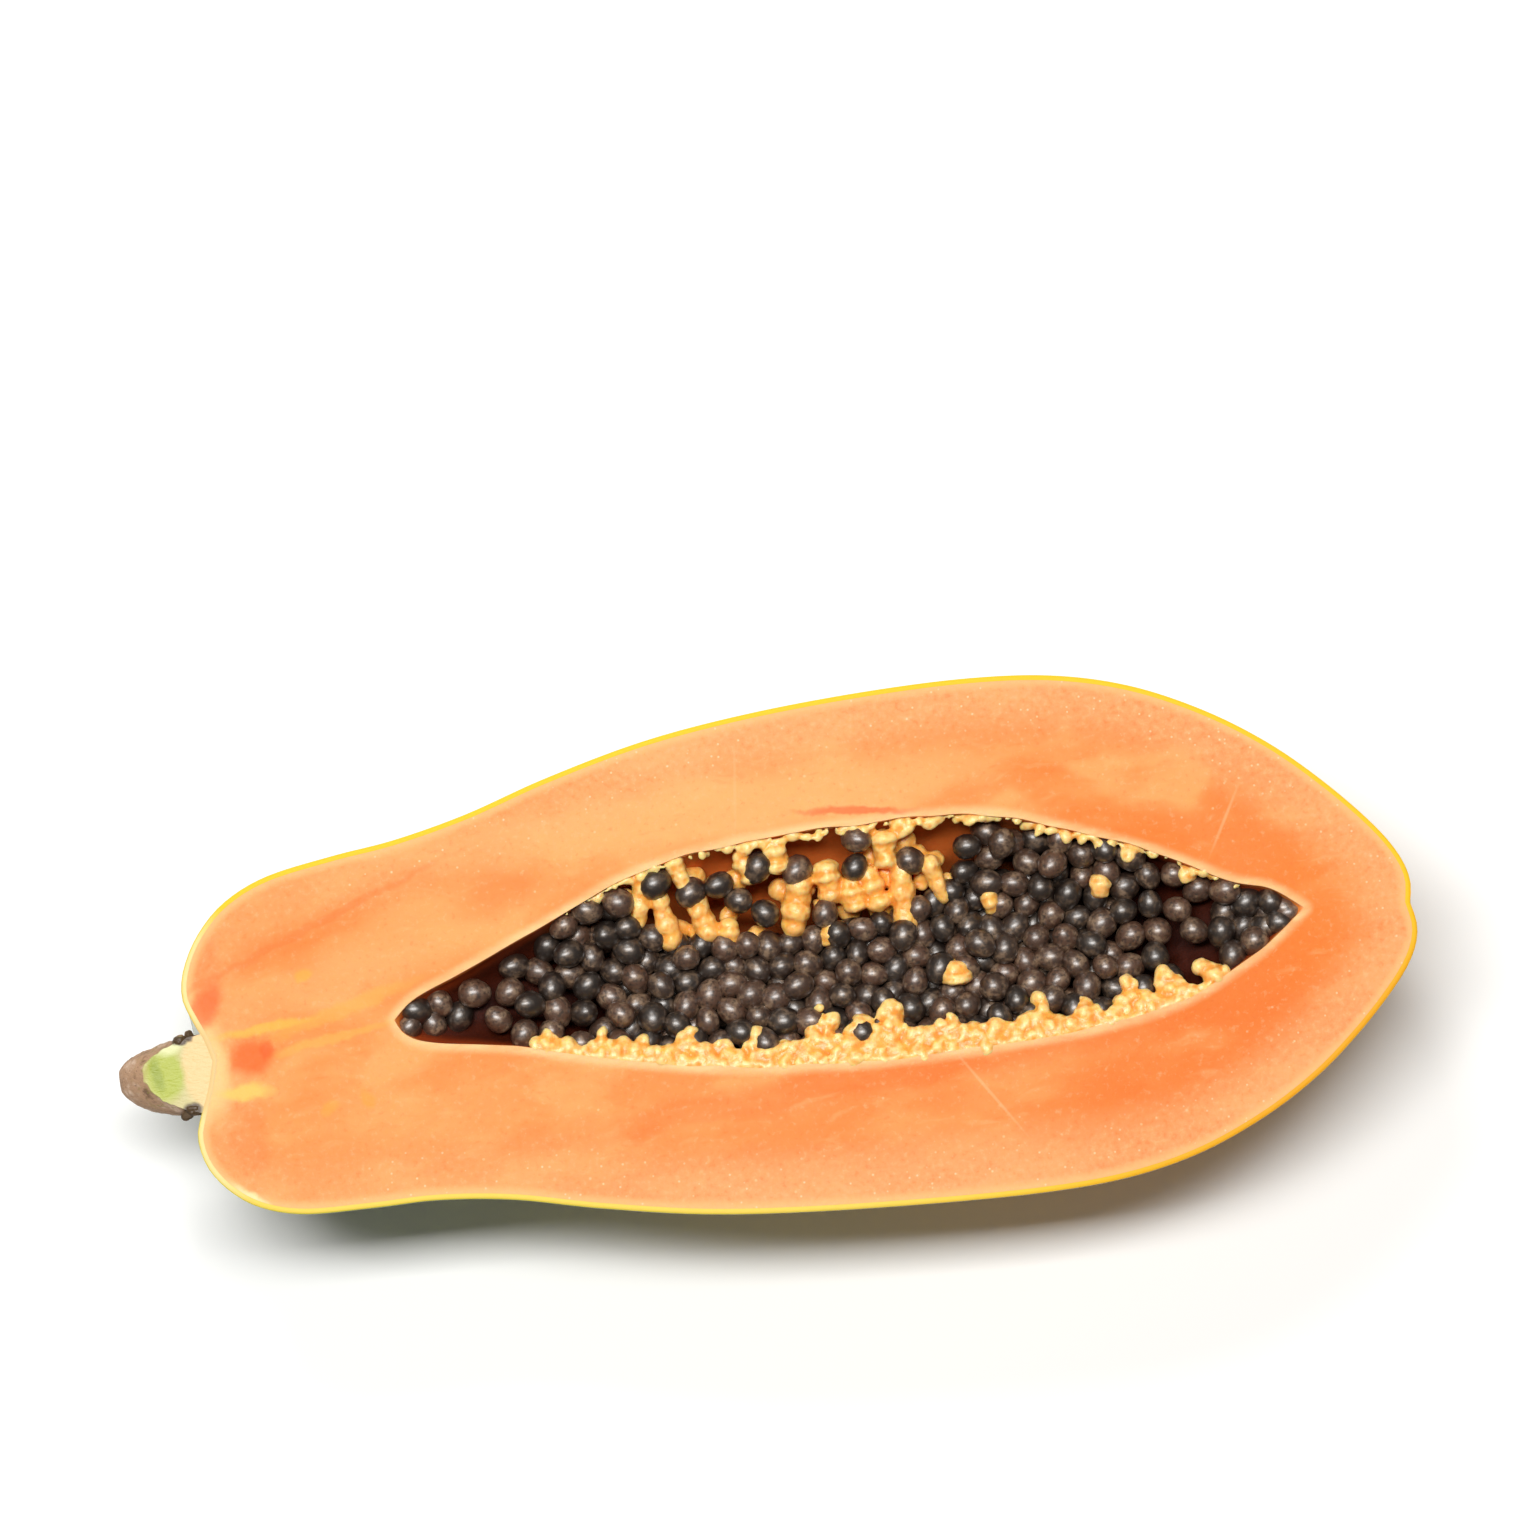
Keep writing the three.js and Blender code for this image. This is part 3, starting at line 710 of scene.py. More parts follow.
def settle_seeds(count, radius, rng):
    """Packs balls in the hollow: they push each other apart and float up against the bed's top."""
    spots = np.column_stack([
        rng.uniform(CAVITY_START, CAVITY_END, count * 6),
        rng.uniform(min(NEAR_TABLE[1]), max(FAR_TABLE[1]), count * 6),
        rng.uniform(-20, -2, count * 6),
    ])
    half = np.maximum(cavity_half(spots[:, 0]) - radius, 0.05)
    inside = np.hypot((spots[:, 1] - cavity_middle(spots[:, 0])) / half, spots[:, 2] / half) < 1
    spots = spots[inside][:count]
    rise = rng.uniform(*SEED_RISES, len(spots))
    rise = rise + (rng.random(len(spots)) < HIGH_SEED_SHARE) * HIGH_SEED_RISE
    for _ in range(SEED_ROUNDS):
        spots[:, 2] += SEED_LIFT
        along = (spots[:, 0] - CAVITY_START) / (CAVITY_END - CAVITY_START) * 2 - 1
        spots[:, 0] += TIP_PULL * along ** 5
        gaps = spots[:, None, :] - spots[None, :, :]
        distance = np.linalg.norm(gaps, axis=2) + np.eye(len(spots)) * 100
        overlap = np.maximum(radius * 2 - distance, 0) / distance
        spots += np.einsum("ij,ijk->ik", overlap, gaps) * SEED_PUSH
        keep_in_hollow(spots, rise, radius)
    return spots


def keep_in_hollow(spots, rise, radius):
    """Moves seeds back between the walls, under the bed's top and to the near side of the shelf."""
    xs = np.clip(spots[:, 0], CAVITY_START + radius * TIP_ROOM[0], CAVITY_END - radius * TIP_ROOM[1])
    spots[:, 0] = xs
    half = np.maximum(cavity_half(xs) - radius * WALL_ROOM, 0.1)
    middle = cavity_middle(xs)
    out = np.hypot((spots[:, 1] - middle) / half, spots[:, 2] / (half * CAVITY_ROUNDNESS))
    shrink = 1 / np.maximum(out, 1)
    spots[:, 1] = middle + (spots[:, 1] - middle) * shrink
    spots[:, 2] *= shrink
    along = (xs - SHELF_CENTRE[0]) / (SHELF_SIZE[0] + radius * SHELF_ROOM[0])
    shelf_half = (SHELF_SIZE[1] + radius * SHELF_ROOM[1]) * np.sqrt(np.maximum(1 - along ** 2, 0))
    over = (shelf_half > 0) & (spots[:, 1] > SHELF_CENTRE[1] - shelf_half)
    spots[:, 1] = np.where(over, SHELF_CENTRE[1] - shelf_half, spots[:, 1])
    band = cavity_near(xs) + np.array([near_reach(x) for x in xs]) * BAND_SHARE
    nearest = band + radius * BAND_ROOM
    crowded = (spots[:, 2] > -BAND_DEPTH) & (spots[:, 1] < nearest)
    spots[:, 1] = np.where(crowded, nearest, spots[:, 1])
    top = np.minimum(rise - bed_depth(xs, spots[:, 1]), -radius * FACE_ROOM)
    spots[:, 2] = np.minimum(spots[:, 2], top)


def make_seeds():
    sizes = bpy.context.scene.papaya_sizes
    rng = np.random.default_rng(7)
    width = sizes.seed_width / MM / 2
    length = sizes.seed_length / MM / 2
    seed = make_lump(SEED_SEGMENTS, SEED_RINGS)
    for vertex in seed.data.vertices:
        taper = 1 - SEED_TAPER * vertex.co.z
        vertex.co.x *= taper
        vertex.co.y *= taper
    places = [tuple(spot) for spot in settle_seeds(sizes.seeds, width * SEED_PACKING, rng)]
    places += [(x, y, WALL_SEED_RISE - float(bed_depth(x, y))) for x, y in WALL_SEEDS]
    copies = []
    for spot in places:
        scale = rng.uniform(*SEED_SIZES)
        size = [width * scale * rng.uniform(*SEED_FLATNESS), width * scale, length * scale]
        lean = math.pi / 2 + rng.normal(0, SEED_LEAN)
        turn = [lean, rng.normal(0, SEED_LEAN), rng.uniform(0, 2 * math.pi)]
        copy = copy_lump(seed, spot, size, turn)
        tone = copy.data.attributes.new("tone", "FLOAT", "POINT")
        tone.data.foreach_set("value", [rng.uniform(0, 1)] * len(copy.data.vertices))
        copies.append(copy)
    bpy.data.objects.remove(seed)
    seeds = join(copies, "loose_seeds")
    finish_piece(seeds, "loose_seeds", ["seeds"], [seed_material()])


def stem_centre(share):
    return Vector([start + lean * share for start, lean in zip(STEM_START, STEM_LEAN)])


def make_stem():
    """Extrudes the stub ring by ring, roughens its bark, slices it at the cut and adds its scar."""
    deselect_all()
    bpy.ops.mesh.primitive_circle_add(
        vertices=STEM_SIDES, radius=STEM_RADIUS * MM, fill_type="NGON",
        location=placed(*stem_centre(-STEM_ROOT)), rotation=(0, -math.pi / 2, 0),
    )
    stem = bpy.context.object
    bpy.ops.object.transform_apply(location=True, rotation=True, scale=True)
    bpy.ops.object.mode_set(mode="EDIT")
    bpy.ops.mesh.select_mode(type="FACE")
    bpy.ops.mesh.select_all(action="SELECT")
    radius = 1
    last = -STEM_ROOT
    for k in range(STEM_STEPS):
        share = k / STEM_STEPS
        step = (stem_centre(share) - stem_centre(last)) * MM
        wanted = (1 - STEM_TAPER * share) * math.sqrt(1 - share ** STEM_BLUNTNESS)
        bpy.ops.mesh.extrude_region_move(TRANSFORM_OT_translate={"value": step})
        middle = placed(*stem_centre(share))
        bpy.ops.transform.resize(value=(wanted / radius,) * 3, center_override=middle)
        radius = wanted
        last = share
    bpy.ops.object.mode_set(mode="OBJECT")
    roughen_bark(stem)
    bpy.ops.object.mode_set(mode="EDIT")
    bpy.ops.mesh.select_all(action="SELECT")
    bpy.ops.mesh.bisect(
        plane_co=(0, 0, CUT_HEIGHT - STEM_SINK * MM), plane_no=(0, 0, 1),
        use_fill=True, clear_outer=True,
    )
    bpy.ops.mesh.select_all(action="SELECT")
    bpy.ops.mesh.normals_make_consistent(inside=False)
    bpy.ops.object.mode_set(mode="OBJECT")
    scar = make_lump(20, 12)
    bits = [copy_lump(scar, at, size, (*CORK_TILT, turn)) for at, size, turn in STEM_SCAR]
    bpy.data.objects.remove(scar)
    for bit in bits:
        roughen(bit, CORK_BUMP, CORK_BUMP_BREADTH)
    stem = join([stem, *bits], "stem_stub")
    shade_smooth(stem)
    finish_piece(stem, "stem_stub", ["stem"], [stem_material()])


def roughen_bark(stem):
    """Raises low ridges along the stub, with small bumps over them."""
    for vertex in stem.data.vertices:
        x, y, z = (vertex.co - FRUIT_ORIGIN) / MM
        share = clamp((STEM_START[0] - x) / STEM_LENGTH, 0, 1)
        out = Vector((x, y, z)) - stem_centre(share)
        angle = math.atan2(out.z, out.y)
        ridge = STEM_RIDGE_HEIGHT * math.cos(STEM_RIDGES * angle + STEM_TWIST * share)
        bump = BARK_BUMP * noise.fractal(Vector((x * 0.25, y * 0.7, z * 0.7)), 0.7, 2, 3)
        vertex.co = placed(*(stem_centre(share) + out * (1 + ridge + bump)))


def roughen(piece, height, grain):
    """Pushes a piece's points in and out by a noise. Both values are in millimetres."""
    outward = [vertex.normal.copy() for vertex in piece.data.vertices]
    for vertex, normal in zip(piece.data.vertices, outward):
        vertex.co += normal * (height * MM * noise.fractal(vertex.co / (grain * MM), 0.7, 2, 3))


def add(tree, kind, inputs=None, stops=None, **settings):
    """Adds a node, sets its options and sockets, and links the inputs that are other nodes' sockets."""
    node = tree.nodes.new(kind)
    for name, value in settings.items():
        setattr(node, name, value)
    for key, value in (inputs or {}).items():
        if isinstance(value, bpy.types.NodeSocket):
            tree.links.new(value, node.inputs[key])
        else:
            node.inputs[key].default_value = value
    for i, (position, colour) in enumerate(stops or ()):
        element = node.color_ramp.elements[i] if i < 2 else node.color_ramp.elements.new(position)
        element.position = position
        element.color = colour
    return node


def new_material(name):
    """A material with its node tree and its main shader."""
    material = bpy.data.materials.new(name)
    material.use_nodes = True
    tree = material.node_tree
    return material, tree, tree.nodes["Principled BSDF"]


def fruit_place(tree):
    """Object coordinates turned to millimetres in the fruit's own frame."""
    spot = add(tree, "ShaderNodeTexCoord").outputs["Object"]
    return add(
        tree, "ShaderNodeMapping",
        {"Vector": spot, "Location": -FRUIT_ORIGIN / MM, "Scale": (1 / MM,) * 3},
    ).outputs[0]


def noise_value(tree, spot, size, detail=3, stretch=(1, 1, 1), roughness=0.55):
    """A noise from 0 to 1 whose blotches are about size millimetres wide, times the stretch."""
    shrunk = add(
        tree, "ShaderNodeMapping", {"Vector": spot, "Scale": [1 / (size * each) for each in stretch]}
    ).outputs[0]
    settings = {"Vector": shrunk, "Scale": 1, "Detail": detail, "Roughness": roughness}
    return add(tree, "ShaderNodeTexNoise", settings).outputs[0]


def mask(tree, *steps):
    """A mask, or a level such as roughness: the product of smooth steps.

    A step is a value, where it starts and ends, and its levels there, which are 0 and 1 where none are
    given. A ready mask or a number also serves as a step.
    """
    product = None
    for step in steps:
        if isinstance(step, tuple):
            value, start, end, *levels = step
            low, high = levels or (0, 1)
            limits = {"Value": value, "From Min": start, "From Max": end, "To Min": low, "To Max": high}
            step = add(tree, "ShaderNodeMapRange", limits, interpolation_type="SMOOTHSTEP").outputs[0]
        if product is not None:
            step = add(tree, "ShaderNodeMath", {0: product, 1: step}, operation="MULTIPLY").outputs[0]
        product = step
    return product


def oval(tree, spot, centre, half, turn=0, soft=0.5):
    """A mask that is 1 in an oval on the cut face and fades out at its edge."""
    settings = {
        "Vector": spot,
        "Location": (*centre, 0),
        "Rotation": (0, 0, math.radians(turn)),
        "Scale": (*half, ENDLESS),
    }
    inner = add(tree, "ShaderNodeMapping", settings, vector_type="TEXTURE").outputs[0]
    reach = add(tree, "ShaderNodeVectorMath", {0: inner}, operation="LENGTH").outputs["Value"]
    return mask(tree, (reach, 1 + soft, 1 - soft))


def specks(tree, spot, spacing, radius, share):
    """Small round dots, one in each cell of that spacing in mm, kept in a share of the cells."""
    cells = add(tree, "ShaderNodeTexVoronoi", {"Vector": spot, "Scale": 1 / spacing})
    pick = add(tree, "ShaderNodeSeparateColor", {0: cells.outputs["Color"]}).outputs[0]
    edge = radius / spacing
    return mask(tree, (cells.outputs["Distance"], edge, edge * 0.45), (pick, share, share - 0.02))


def blend(tree, base, layers):
    """Lays colours over a base. A layer is a hex code or a property's value, then its mask's steps."""
    colour = tuple(base)
    for layer, *steps in layers:
        paint = linear(layer) if isinstance(layer, str) else tuple(layer)
        inputs = {0: mask(tree, *steps), 6: colour, 7: paint}
        colour = add(tree, "ShaderNodeMix", inputs, data_type="RGBA").outputs[2]
    return colour


def drifted(tree, spot, size, amount):
    """The place moved to and fro by a noise, so that masks get wavering edges. Both in millimetres."""
    shrunk = add(tree, "ShaderNodeMapping", {"Vector": spot, "Scale": (1 / size,) * 3}).outputs[0]
    wander = add(tree, "ShaderNodeTexNoise", {"Vector": shrunk, "Scale": 1, "Detail": 2})
    halves = {0: wander.outputs["Color"], 1: (0.5, 0.5, 0.5)}
    centred = add(tree, "ShaderNodeVectorMath", halves, operation="SUBTRACT").outputs[0]
    scaled = add(tree, "ShaderNodeVectorMath", {0: centred, "Scale": amount}, operation="SCALE")
    return add(tree, "ShaderNodeVectorMath", {0: spot, 1: scaled.outputs[0]}).outputs[0]


def set_inner_light(shader, weight, reach):
    """Lets light in under the surface. reach is its way in millimetres in red, green and blue."""
    shader.inputs["Subsurface Weight"].default_value = weight
    shader.inputs["Subsurface Scale"].default_value = MM
    shader.inputs["Subsurface Radius"].default_value = reach


def cover(tree, shader, colour, relief, height):
    """Gives the shader its colour, and raises the surface by up to height mm where the relief is 1."""
    bump = add(tree, "ShaderNodeBump", {"Height": relief, "Strength": 1, "Distance": height * MM})
    tree.links.new(colour, shader.inputs["Base Color"])
    tree.links.new(bump.outputs[0], shader.inputs["Normal"])


def flesh_material():
    """Ripe flesh, cut with a knife and moist: warm orange with paler and redder zones. The hollow's
    wall turns to its red-brown lining below the cut, then near black deeper down as painted shade.
    """
    material, tree, shader = new_material("moist_cut_papaya_flesh")
    colours = bpy.context.scene.papaya_colours
    spot = fruit_place(tree)
    loose = drifted(tree, spot, 13, 7)
    near_spot = drifted(tree, drifted(tree, spot, 5, 2.6), 1.4, 0.8)
    skin = add(tree, "ShaderNodeAttribute", attribute_name="skin_mm").outputs["Fac"]
    hollow = add(tree, "ShaderNodeAttribute", attribute_name="hollow_mm").outputs["Fac"]
    along = add(tree, "ShaderNodeSeparateXYZ", {0: spot}).outputs[0]
    broad = noise_value(tree, loose, 16, 3, (1.8, 0.8, 1))
    fibre = noise_value(tree, loose, 3.2, 3, (3.4, 0.8, 1))
    grain = noise_value(tree, spot, 0.9, 2)
    fine = noise_value(tree, spot, 1.5, 4, roughness=0.65)
    zones = [
        (code, oval(tree, loose, centre, half, turn), (broad, 0.2, 0.7, strength, strength * 0.6))
        for code, centre, half, turn, strength in FLESH_ZONES
    ]
    marks = [
        (code, oval(tree, near_spot, centre, half, turn, 0.45), strength)
        for code, centre, half, turn, strength in FLESH_MARKS
    ]
    knife_lines = [
        (code, oval(tree, spot, centre, half, turn, 0.6), strength)
        for code, centre, half, turn, strength in KNIFE_LINES
    ]
    colour = blend(tree, colours.flesh, [
        ("F4A05D", (broad, 0.42, 0.66)),
        ("E67933", (along, 110, 225, 0, 0.6), (broad, 0.62, 0.4)),
        *zones,
        ("E4752F", (fibre, 0.6, 0.78), (hollow, 1, 8, 0, 0.35)),
        ("F4AA6D", (fibre, 0.42, 0.24), (hollow, 1, 8, 0, 0.4)),
        ("F8A870", (skin, 17, 5), (fine, 0.3, 0.7, 0.5, 1), (along, 60, 110, 0.45, 0.85)),
        ("FAB884", (fine, 0.54, 0.76, 0, 0.4)),
        ("DC6A2C", (fine, 0.44, 0.26, 0, 0.3)),
        ("F4B97A", (skin, 3.4, 1.4, 0, 0.8)),
        ("F4C58B", (hollow, 2.4, 0.3), (fibre, 0.2, 0.8, 1, 0.5)),
        ("F4CB9F", specks(tree, spot, 1.5, 0.3, 0.5), (skin, 15, 7), (along, 22, 40, 0, 0.8)),
        ("F4C898", specks(tree, spot, 3.4, 0.36, 0.35), (hollow, 3, 6), (along, 40, 60, 0, 0.5)),
        *marks,
        *knife_lines,
        # Painted shade: the hollow's wall goes from orange to its red-brown lining, then to near black
        # with depth. Behind the shelf it stays a lighter orange-brown.
        ("E07E34", (hollow, 0.1, -0.7)),
        ("8A3410", (hollow, -0.5, -2)),
        ("3A1206", (hollow, -1.6, -5)),
        ("D0682A", (hollow, -0.4, -1.4), oval(tree, loose, (124, 26), (44, 13))),
    ])
    tree.links.new(mask(tree, (grain, 0.2, 0.8, 0.48, 0.64)), shader.inputs["Roughness"])
    shader.inputs["Specular IOR Level"].default_value = 0.12
    set_inner_light(shader, 0.35, (2.4, 1, 0.4))
    height = add(tree, "ShaderNodeMath", {0: grain, 1: fibre}, operation="ADD").outputs[0]
    cover(tree, shader, colour, height, 0.09)
    return material


def peel_material():
    """Thin waxy peel: yellow at the blossom end, green at the stalk, with small dark specks."""
    material, tree, shader = new_material("waxy_ripening_papaya_peel")
    colours = bpy.context.scene.papaya_colours
    spot = fruit_place(tree)
    loose = drifted(tree, spot, 24, 26)
    loose_cut = drifted(tree, spot, 4, 2)
    skin = add(tree, "ShaderNodeAttribute", attribute_name="skin_mm").outputs["Fac"]
    x, y, z = add(tree, "ShaderNodeSeparateXYZ", {0: spot}).outputs
    drift_x = add(tree, "ShaderNodeSeparateXYZ", {0: loose}).outputs[0]
    blotch = noise_value(tree, loose, 11, 4, (2, 1, 1))
    relief = noise_value(tree, spot, 2.2, 3)
    cut = mask(tree, (z, -0.45, -0.3))
    near_side = mask(tree, (y, 5, -20))
    colour = blend(tree, colours.peel_ripe, [
        ("B89A10", (drift_x, 190, 110)),
        ("86841A", (drift_x, 120, 60)),
        (colours.peel_green, (drift_x, 70, 15)),
        ("D9B41E", (blotch, 0.5, 0.75), (drift_x, 40, 120, 0.15, 0.6)),
        ("7A7A10", (blotch, 0.45, 0.25), (drift_x, 40, 120, 0.3, 0.55)),
        ("3A3A0C", specks(tree, spot, 4.6, 0.75, 0.62), (blotch, 0.3, 0.6, 0.4, 0.95)),
        ("4A4410", specks(tree, spot, 2.7, 0.4, 0.4), (blotch, 0.3, 0.6, 0.3, 0.9)),
        (colours.rim, cut),
        ("F2A406", cut, (x, 150, 220), near_side),
        ("EDCB50", cut, near_side, (x, 190, 120)),
        ("EBD48C", cut, (x, 9, 1), (skin, 0.1, 0.7)),
        ("B6B414", cut, (skin, 0.5, 0.15), (x, 150, 60, 0.15, 0.8)),
        ("E2BE80", cut, oval(tree, loose_cut, (1, -0.8), (5, 9), 0, 0.3)),
    ])
    tree.links.new(mask(tree, (z, -0.6, -0.3, 0.36, 0.7)), shader.inputs["Roughness"])
    tree.links.new(mask(tree, (z, -0.6, -0.3, 0.5, 0)), shader.inputs["Coat Weight"])
    shader.inputs["Coat Roughness"].default_value = 0.12
    set_inner_light(shader, 0.15, (1.6, 0.9, 0.3))
    cover(tree, shader, colour, relief, 0.12)
    return material


def pulp_material():
    """Soft juicy golden crumbs, with painted light and shade: cream painted highlights on their points
    and tops, darker orange painted shade in their dents, and red-brown painted shade in the depths.
    """
    material, tree, shader = new_material("juicy_seed_pulp")
    colours = bpy.context.scene.papaya_colours
    spot = fruit_place(tree)
    z = add(tree, "ShaderNodeSeparateXYZ", {0: spot}).outputs[2]
    blotch = noise_value(tree, spot, 2.6, 3)
    grain = noise_value(tree, spot, 0.7, 2)
    pointiness_for_painted_light = add(tree, "ShaderNodeNewGeometry").outputs["Pointiness"]
    colour = blend(tree, colours.pulp, [
        ("F8B450", (blotch, 0.4, 0.66)),
        # Painted highlight in cream on the crumbs' points, strongest on the higher ones, and painted
        # shade in darker orange in their dents.
        ("FCD58A", (pointiness_for_painted_light, 0.49, 0.54), (z, -6, -1, 0.4, 0.9)),
        ("E47C22", (pointiness_for_painted_light, 0.5, 0.43), (blotch, 0.3, 0.6, 0.9, 0.5)),
        # Painted shade: the pulp turns red-brown deep in the hollow.
        ("94400F", (z, -8, -12.5, 0, 0.85)),
    ])
    shader.inputs["Roughness"].default_value = 0.34
    set_inner_light(shader, 0.5, (2, 0.9, 0.3))
    cover(tree, shader, colour, grain, 0.12)
    return material


def seed_material():
    """Dark seeds in a clear jelly coat, which shines softly. Those deep in the hollow get painted
    shade, darker with depth.
    """
    material, tree, shader = new_material("jelly_coated_dark_seed")
    colours = bpy.context.scene.papaya_colours
    spot = fruit_place(tree)
    z = add(tree, "ShaderNodeSeparateXYZ", {0: spot}).outputs[2]
    tone = add(tree, "ShaderNodeAttribute", attribute_name="tone").outputs["Fac"]
    patch = noise_value(tree, spot, 2.2, 3)
    wrinkle = noise_value(tree, spot, 0.75, 3, roughness=0.6)
    colour = blend(tree, colours.seed, [
        ("54392A", (tone, 0.15, 0.9)),
        ("8A7058", (patch, 0.46, 0.7, 0, 0.85), (tone, 0, 0.6, 0.3, 1)),
        ("120C09", (wrinkle, 0.52, 0.32, 0, 0.8)),
        # Painted shade: seeds deep in the hollow are painted near black.
        ("0C0705", (z, -8, -12, 0, 0.85)),
    ])
    tree.links.new(mask(tree, (wrinkle, 0.3, 0.7, 0.55, 0.38)), shader.inputs["Roughness"])
    shader.inputs["Specular Tint"].default_value = linear("FFE2C4")
    shader.inputs["Coat Weight"].default_value = 1
    shader.inputs["Coat Roughness"].default_value = 0.34
    shader.inputs["Coat IOR"].default_value = 1.7
    cover(tree, shader, colour, wrinkle, 0.22)
    return material


def stem_material():
    """Dry brown bark round a fresh green cut, with dark cork at the scar."""
    material, tree, shader = new_material("dry_bark_and_green_cut_stalk")
    colours = bpy.context.scene.papaya_colours
    spot = fruit_place(tree)
    loose = drifted(tree, spot, 3, 1.6)
    z = add(tree, "ShaderNodeSeparateXYZ", {0: spot}).outputs[2]
    cut = mask(tree, (z, -0.45, -0.28))
    patch = noise_value(tree, spot, 3, 4, (2, 1, 1), 0.6)
    grain = noise_value(tree, spot, 0.8, 4, (2.4, 1, 1), 0.6)
    cork = [
        ("4E3A22", oval(tree, loose, at[:2], [each * 1.1 for each in size[:2]], 0, 0.3))
        for at, size, _ in STEM_SCAR
    ]
    colour = blend(tree, colours.bark, [
        ("D2B49A", (patch, 0.5, 0.72)),
        ("7C5C42", (patch, 0.46, 0.3)),
        ("5C4228", (grain, 0.42, 0.26, 0, 0.7)),
        ("8A7A3C", (grain, 0.5, 0.7), oval(tree, loose, (-8, -2), (5, 8))),
        (colours.stalk_cut, cut),
        ("A6AE34", cut, oval(tree, loose, (-6.9, -1), (3.9, 5.6), 0, 0.3)),
        ("D8D89C", cut, oval(tree, loose, (-5.8, 5.2), (3.2, 2.2), 10, 0.4)),
        ("8E9A20", cut, oval(tree, loose, (-8.6, -0.6), (1.2, 3.4), 10, 0.5)),
        ("E2BE80", cut, oval(tree, loose, (1.6, -0.6), (4.6, 9), 0, 0.25)),
        *cork,
    ])
    tree.links.new(mask(tree, (cut, 0, 1, 0.75, 0.42)), shader.inputs["Roughness"])
    cover(tree, shader, colour, grain, 0.25)
    return material


def make_stage():
    scene = bpy.context.scene
    scene.view_settings.view_transform = "Standard"
    add_camera(scene)
    deselect_all()
    bpy.ops.mesh.primitive_plane_add(size=FLOOR_SIZE)
    floor = bpy.context.object
    floor.name = "floor"
    floor.data.materials.append(floor_material())
    world = bpy.data.worlds.new("studio")
    world.use_nodes = True
    world.node_tree.nodes["Background"].inputs["Color"].default_value = (1, 1, 1, 1)
    world.node_tree.nodes["Background"].inputs["Strength"].default_value = WORLD_STRENGTH
    scene.world = world
    for name, place, size, watts in LIGHTS:
        bpy.ops.object.light_add(type="AREA", location=place)
        light = bpy.context.object
        light.name = name
        back = Vector(place).normalized()
        side = Vector((0, 1, 0)).cross(back).normalized()
        light.rotation_euler = Matrix((side, back.cross(side), back)).transposed().to_euler()
        light.data.shape = "RECTANGLE"
        light.data.size, light.data.size_y = size
        light.data.energy = watts


def add_camera(scene):
    """Puts the camera so that the fruit lies in the frame where it lies in the photo."""
    azimuth = math.radians(CAMERA_AZIMUTH)
    elevation = math.radians(CAMERA_ELEVATION)
    right = Vector((math.cos(azimuth), math.sin(azimuth), 0))
    level_back = Vector((math.sin(azimuth), -math.cos(azimuth), 0))
    back = level_back * math.cos(elevation) + Vector((0, 0, math.sin(elevation)))
    up = back.cross(right)
    pixel = MM_PER_PIXEL * MM
    aside = (FRUIT_IN_PHOTO[0] - PHOTO_SIZE / 2) * pixel
    below = (FRUIT_IN_PHOTO[1] - PHOTO_SIZE / 2) * pixel
    target = placed(*FRUIT_MIDDLE, 0) - right * aside + up * below
    camera = bpy.data.objects.new("camera", bpy.data.cameras.new("camera"))
    camera.data.lens = LENS
    camera.data.sensor_width = SENSOR
    camera.data.clip_start = NEAREST_VISIBLE
    camera.location = target + back * (LENS / SENSOR * PHOTO_SIZE * pixel)
    camera.rotation_euler = Matrix((right, up, back)).transposed().to_euler()
    scene.collection.objects.link(camera)
    scene.camera = camera


def floor_material():
    """Matt white paper sweep."""
    material, tree, shader = new_material("matt_white_paper")
    shader.inputs["Base Color"].default_value = linear("F8F8F6")
    shader.inputs["Roughness"].default_value = 0.9
    return material


class PAPAYA_OT_flesh(bpy.types.Operator):
    """Add the flesh with its cut face and seed hollow"""

    bl_idname = "papaya.flesh"
    bl_label = "Flesh"

    def execute(self, context):
        make_flesh()
        return {"FINISHED"}


class PAPAYA_OT_peel(bpy.types.Operator):
    """Add the peel round the flesh"""

    bl_idname = "papaya.peel"
    bl_label = "Peel"

    def execute(self, context):
        make_peel()
        return {"FINISHED"}


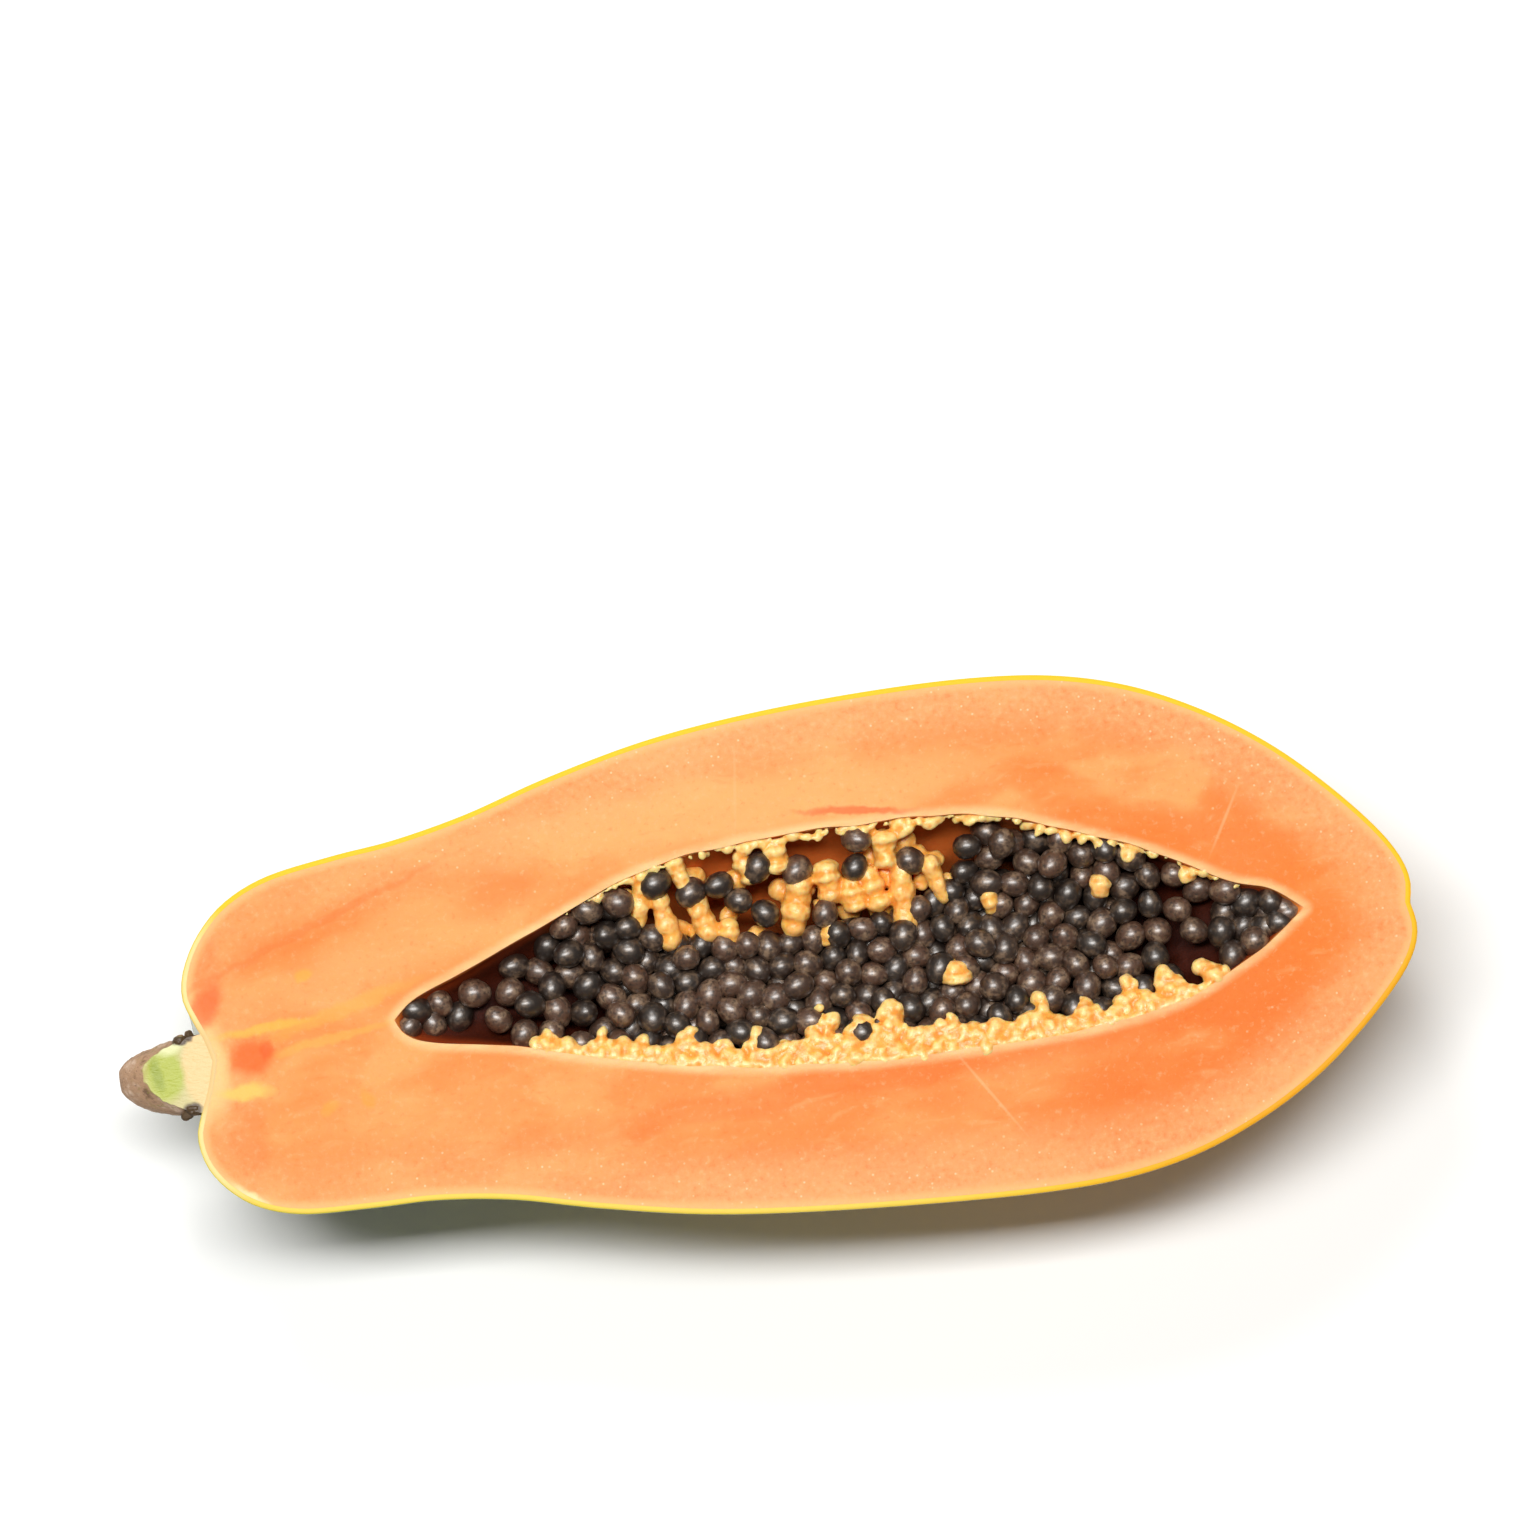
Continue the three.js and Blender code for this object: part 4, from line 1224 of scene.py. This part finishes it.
class PAPAYA_OT_pulp(bpy.types.Operator):
    """Add the crumbs and strands of pulp in the hollow"""

    bl_idname = "papaya.pulp"
    bl_label = "Pulp"

    def execute(self, context):
        make_pulp()
        return {"FINISHED"}


class PAPAYA_OT_seeds(bpy.types.Operator):
    """Add the seeds, packed in the hollow"""

    bl_idname = "papaya.seeds"
    bl_label = "Seeds"

    def execute(self, context):
        make_seeds()
        return {"FINISHED"}


class PAPAYA_OT_stem(bpy.types.Operator):
    """Add the stub of the stalk"""

    bl_idname = "papaya.stem"
    bl_label = "Stem"

    def execute(self, context):
        make_stem()
        return {"FINISHED"}


class PAPAYA_OT_stage(bpy.types.Operator):
    """Add the table, the lights and the camera"""

    bl_idname = "papaya.stage"
    bl_label = "Stage"

    def execute(self, context):
        make_stage()
        return {"FINISHED"}


OPERATORS = (
    PAPAYA_OT_flesh, PAPAYA_OT_peel, PAPAYA_OT_pulp, PAPAYA_OT_seeds, PAPAYA_OT_stem, PAPAYA_OT_stage,
)


class PAPAYA_PT_panel(bpy.types.Panel):
    """Sizes, colours and pieces of the papaya"""

    bl_idname = "PAPAYA_PT_panel"
    bl_label = "Papaya"
    bl_space_type = "VIEW_3D"
    bl_region_type = "UI"
    bl_category = "Papaya"

    def draw(self, context):
        for group in (context.scene.papaya_sizes, context.scene.papaya_colours):
            for name in group.__annotations__:
                self.layout.prop(group, name)
        for operator in OPERATORS:
            self.layout.operator(operator.bl_idname)


CLASSES = (PapayaSizes, PapayaColours, *OPERATORS, PAPAYA_PT_panel)


def register():
    for each in CLASSES:
        bpy.utils.register_class(each)
    bpy.types.Scene.papaya_sizes = bpy.props.PointerProperty(type=PapayaSizes)
    bpy.types.Scene.papaya_colours = bpy.props.PointerProperty(type=PapayaColours)


def unregister():
    del bpy.types.Scene.papaya_colours
    del bpy.types.Scene.papaya_sizes
    for each in reversed(CLASSES):
        bpy.utils.unregister_class(each)


def main():
    register()
    bpy.ops.papaya.stage()
    bpy.ops.papaya.flesh()
    bpy.ops.papaya.peel()
    bpy.ops.papaya.pulp()
    bpy.ops.papaya.seeds()
    bpy.ops.papaya.stem()


if __name__ == "__main__":
    main()
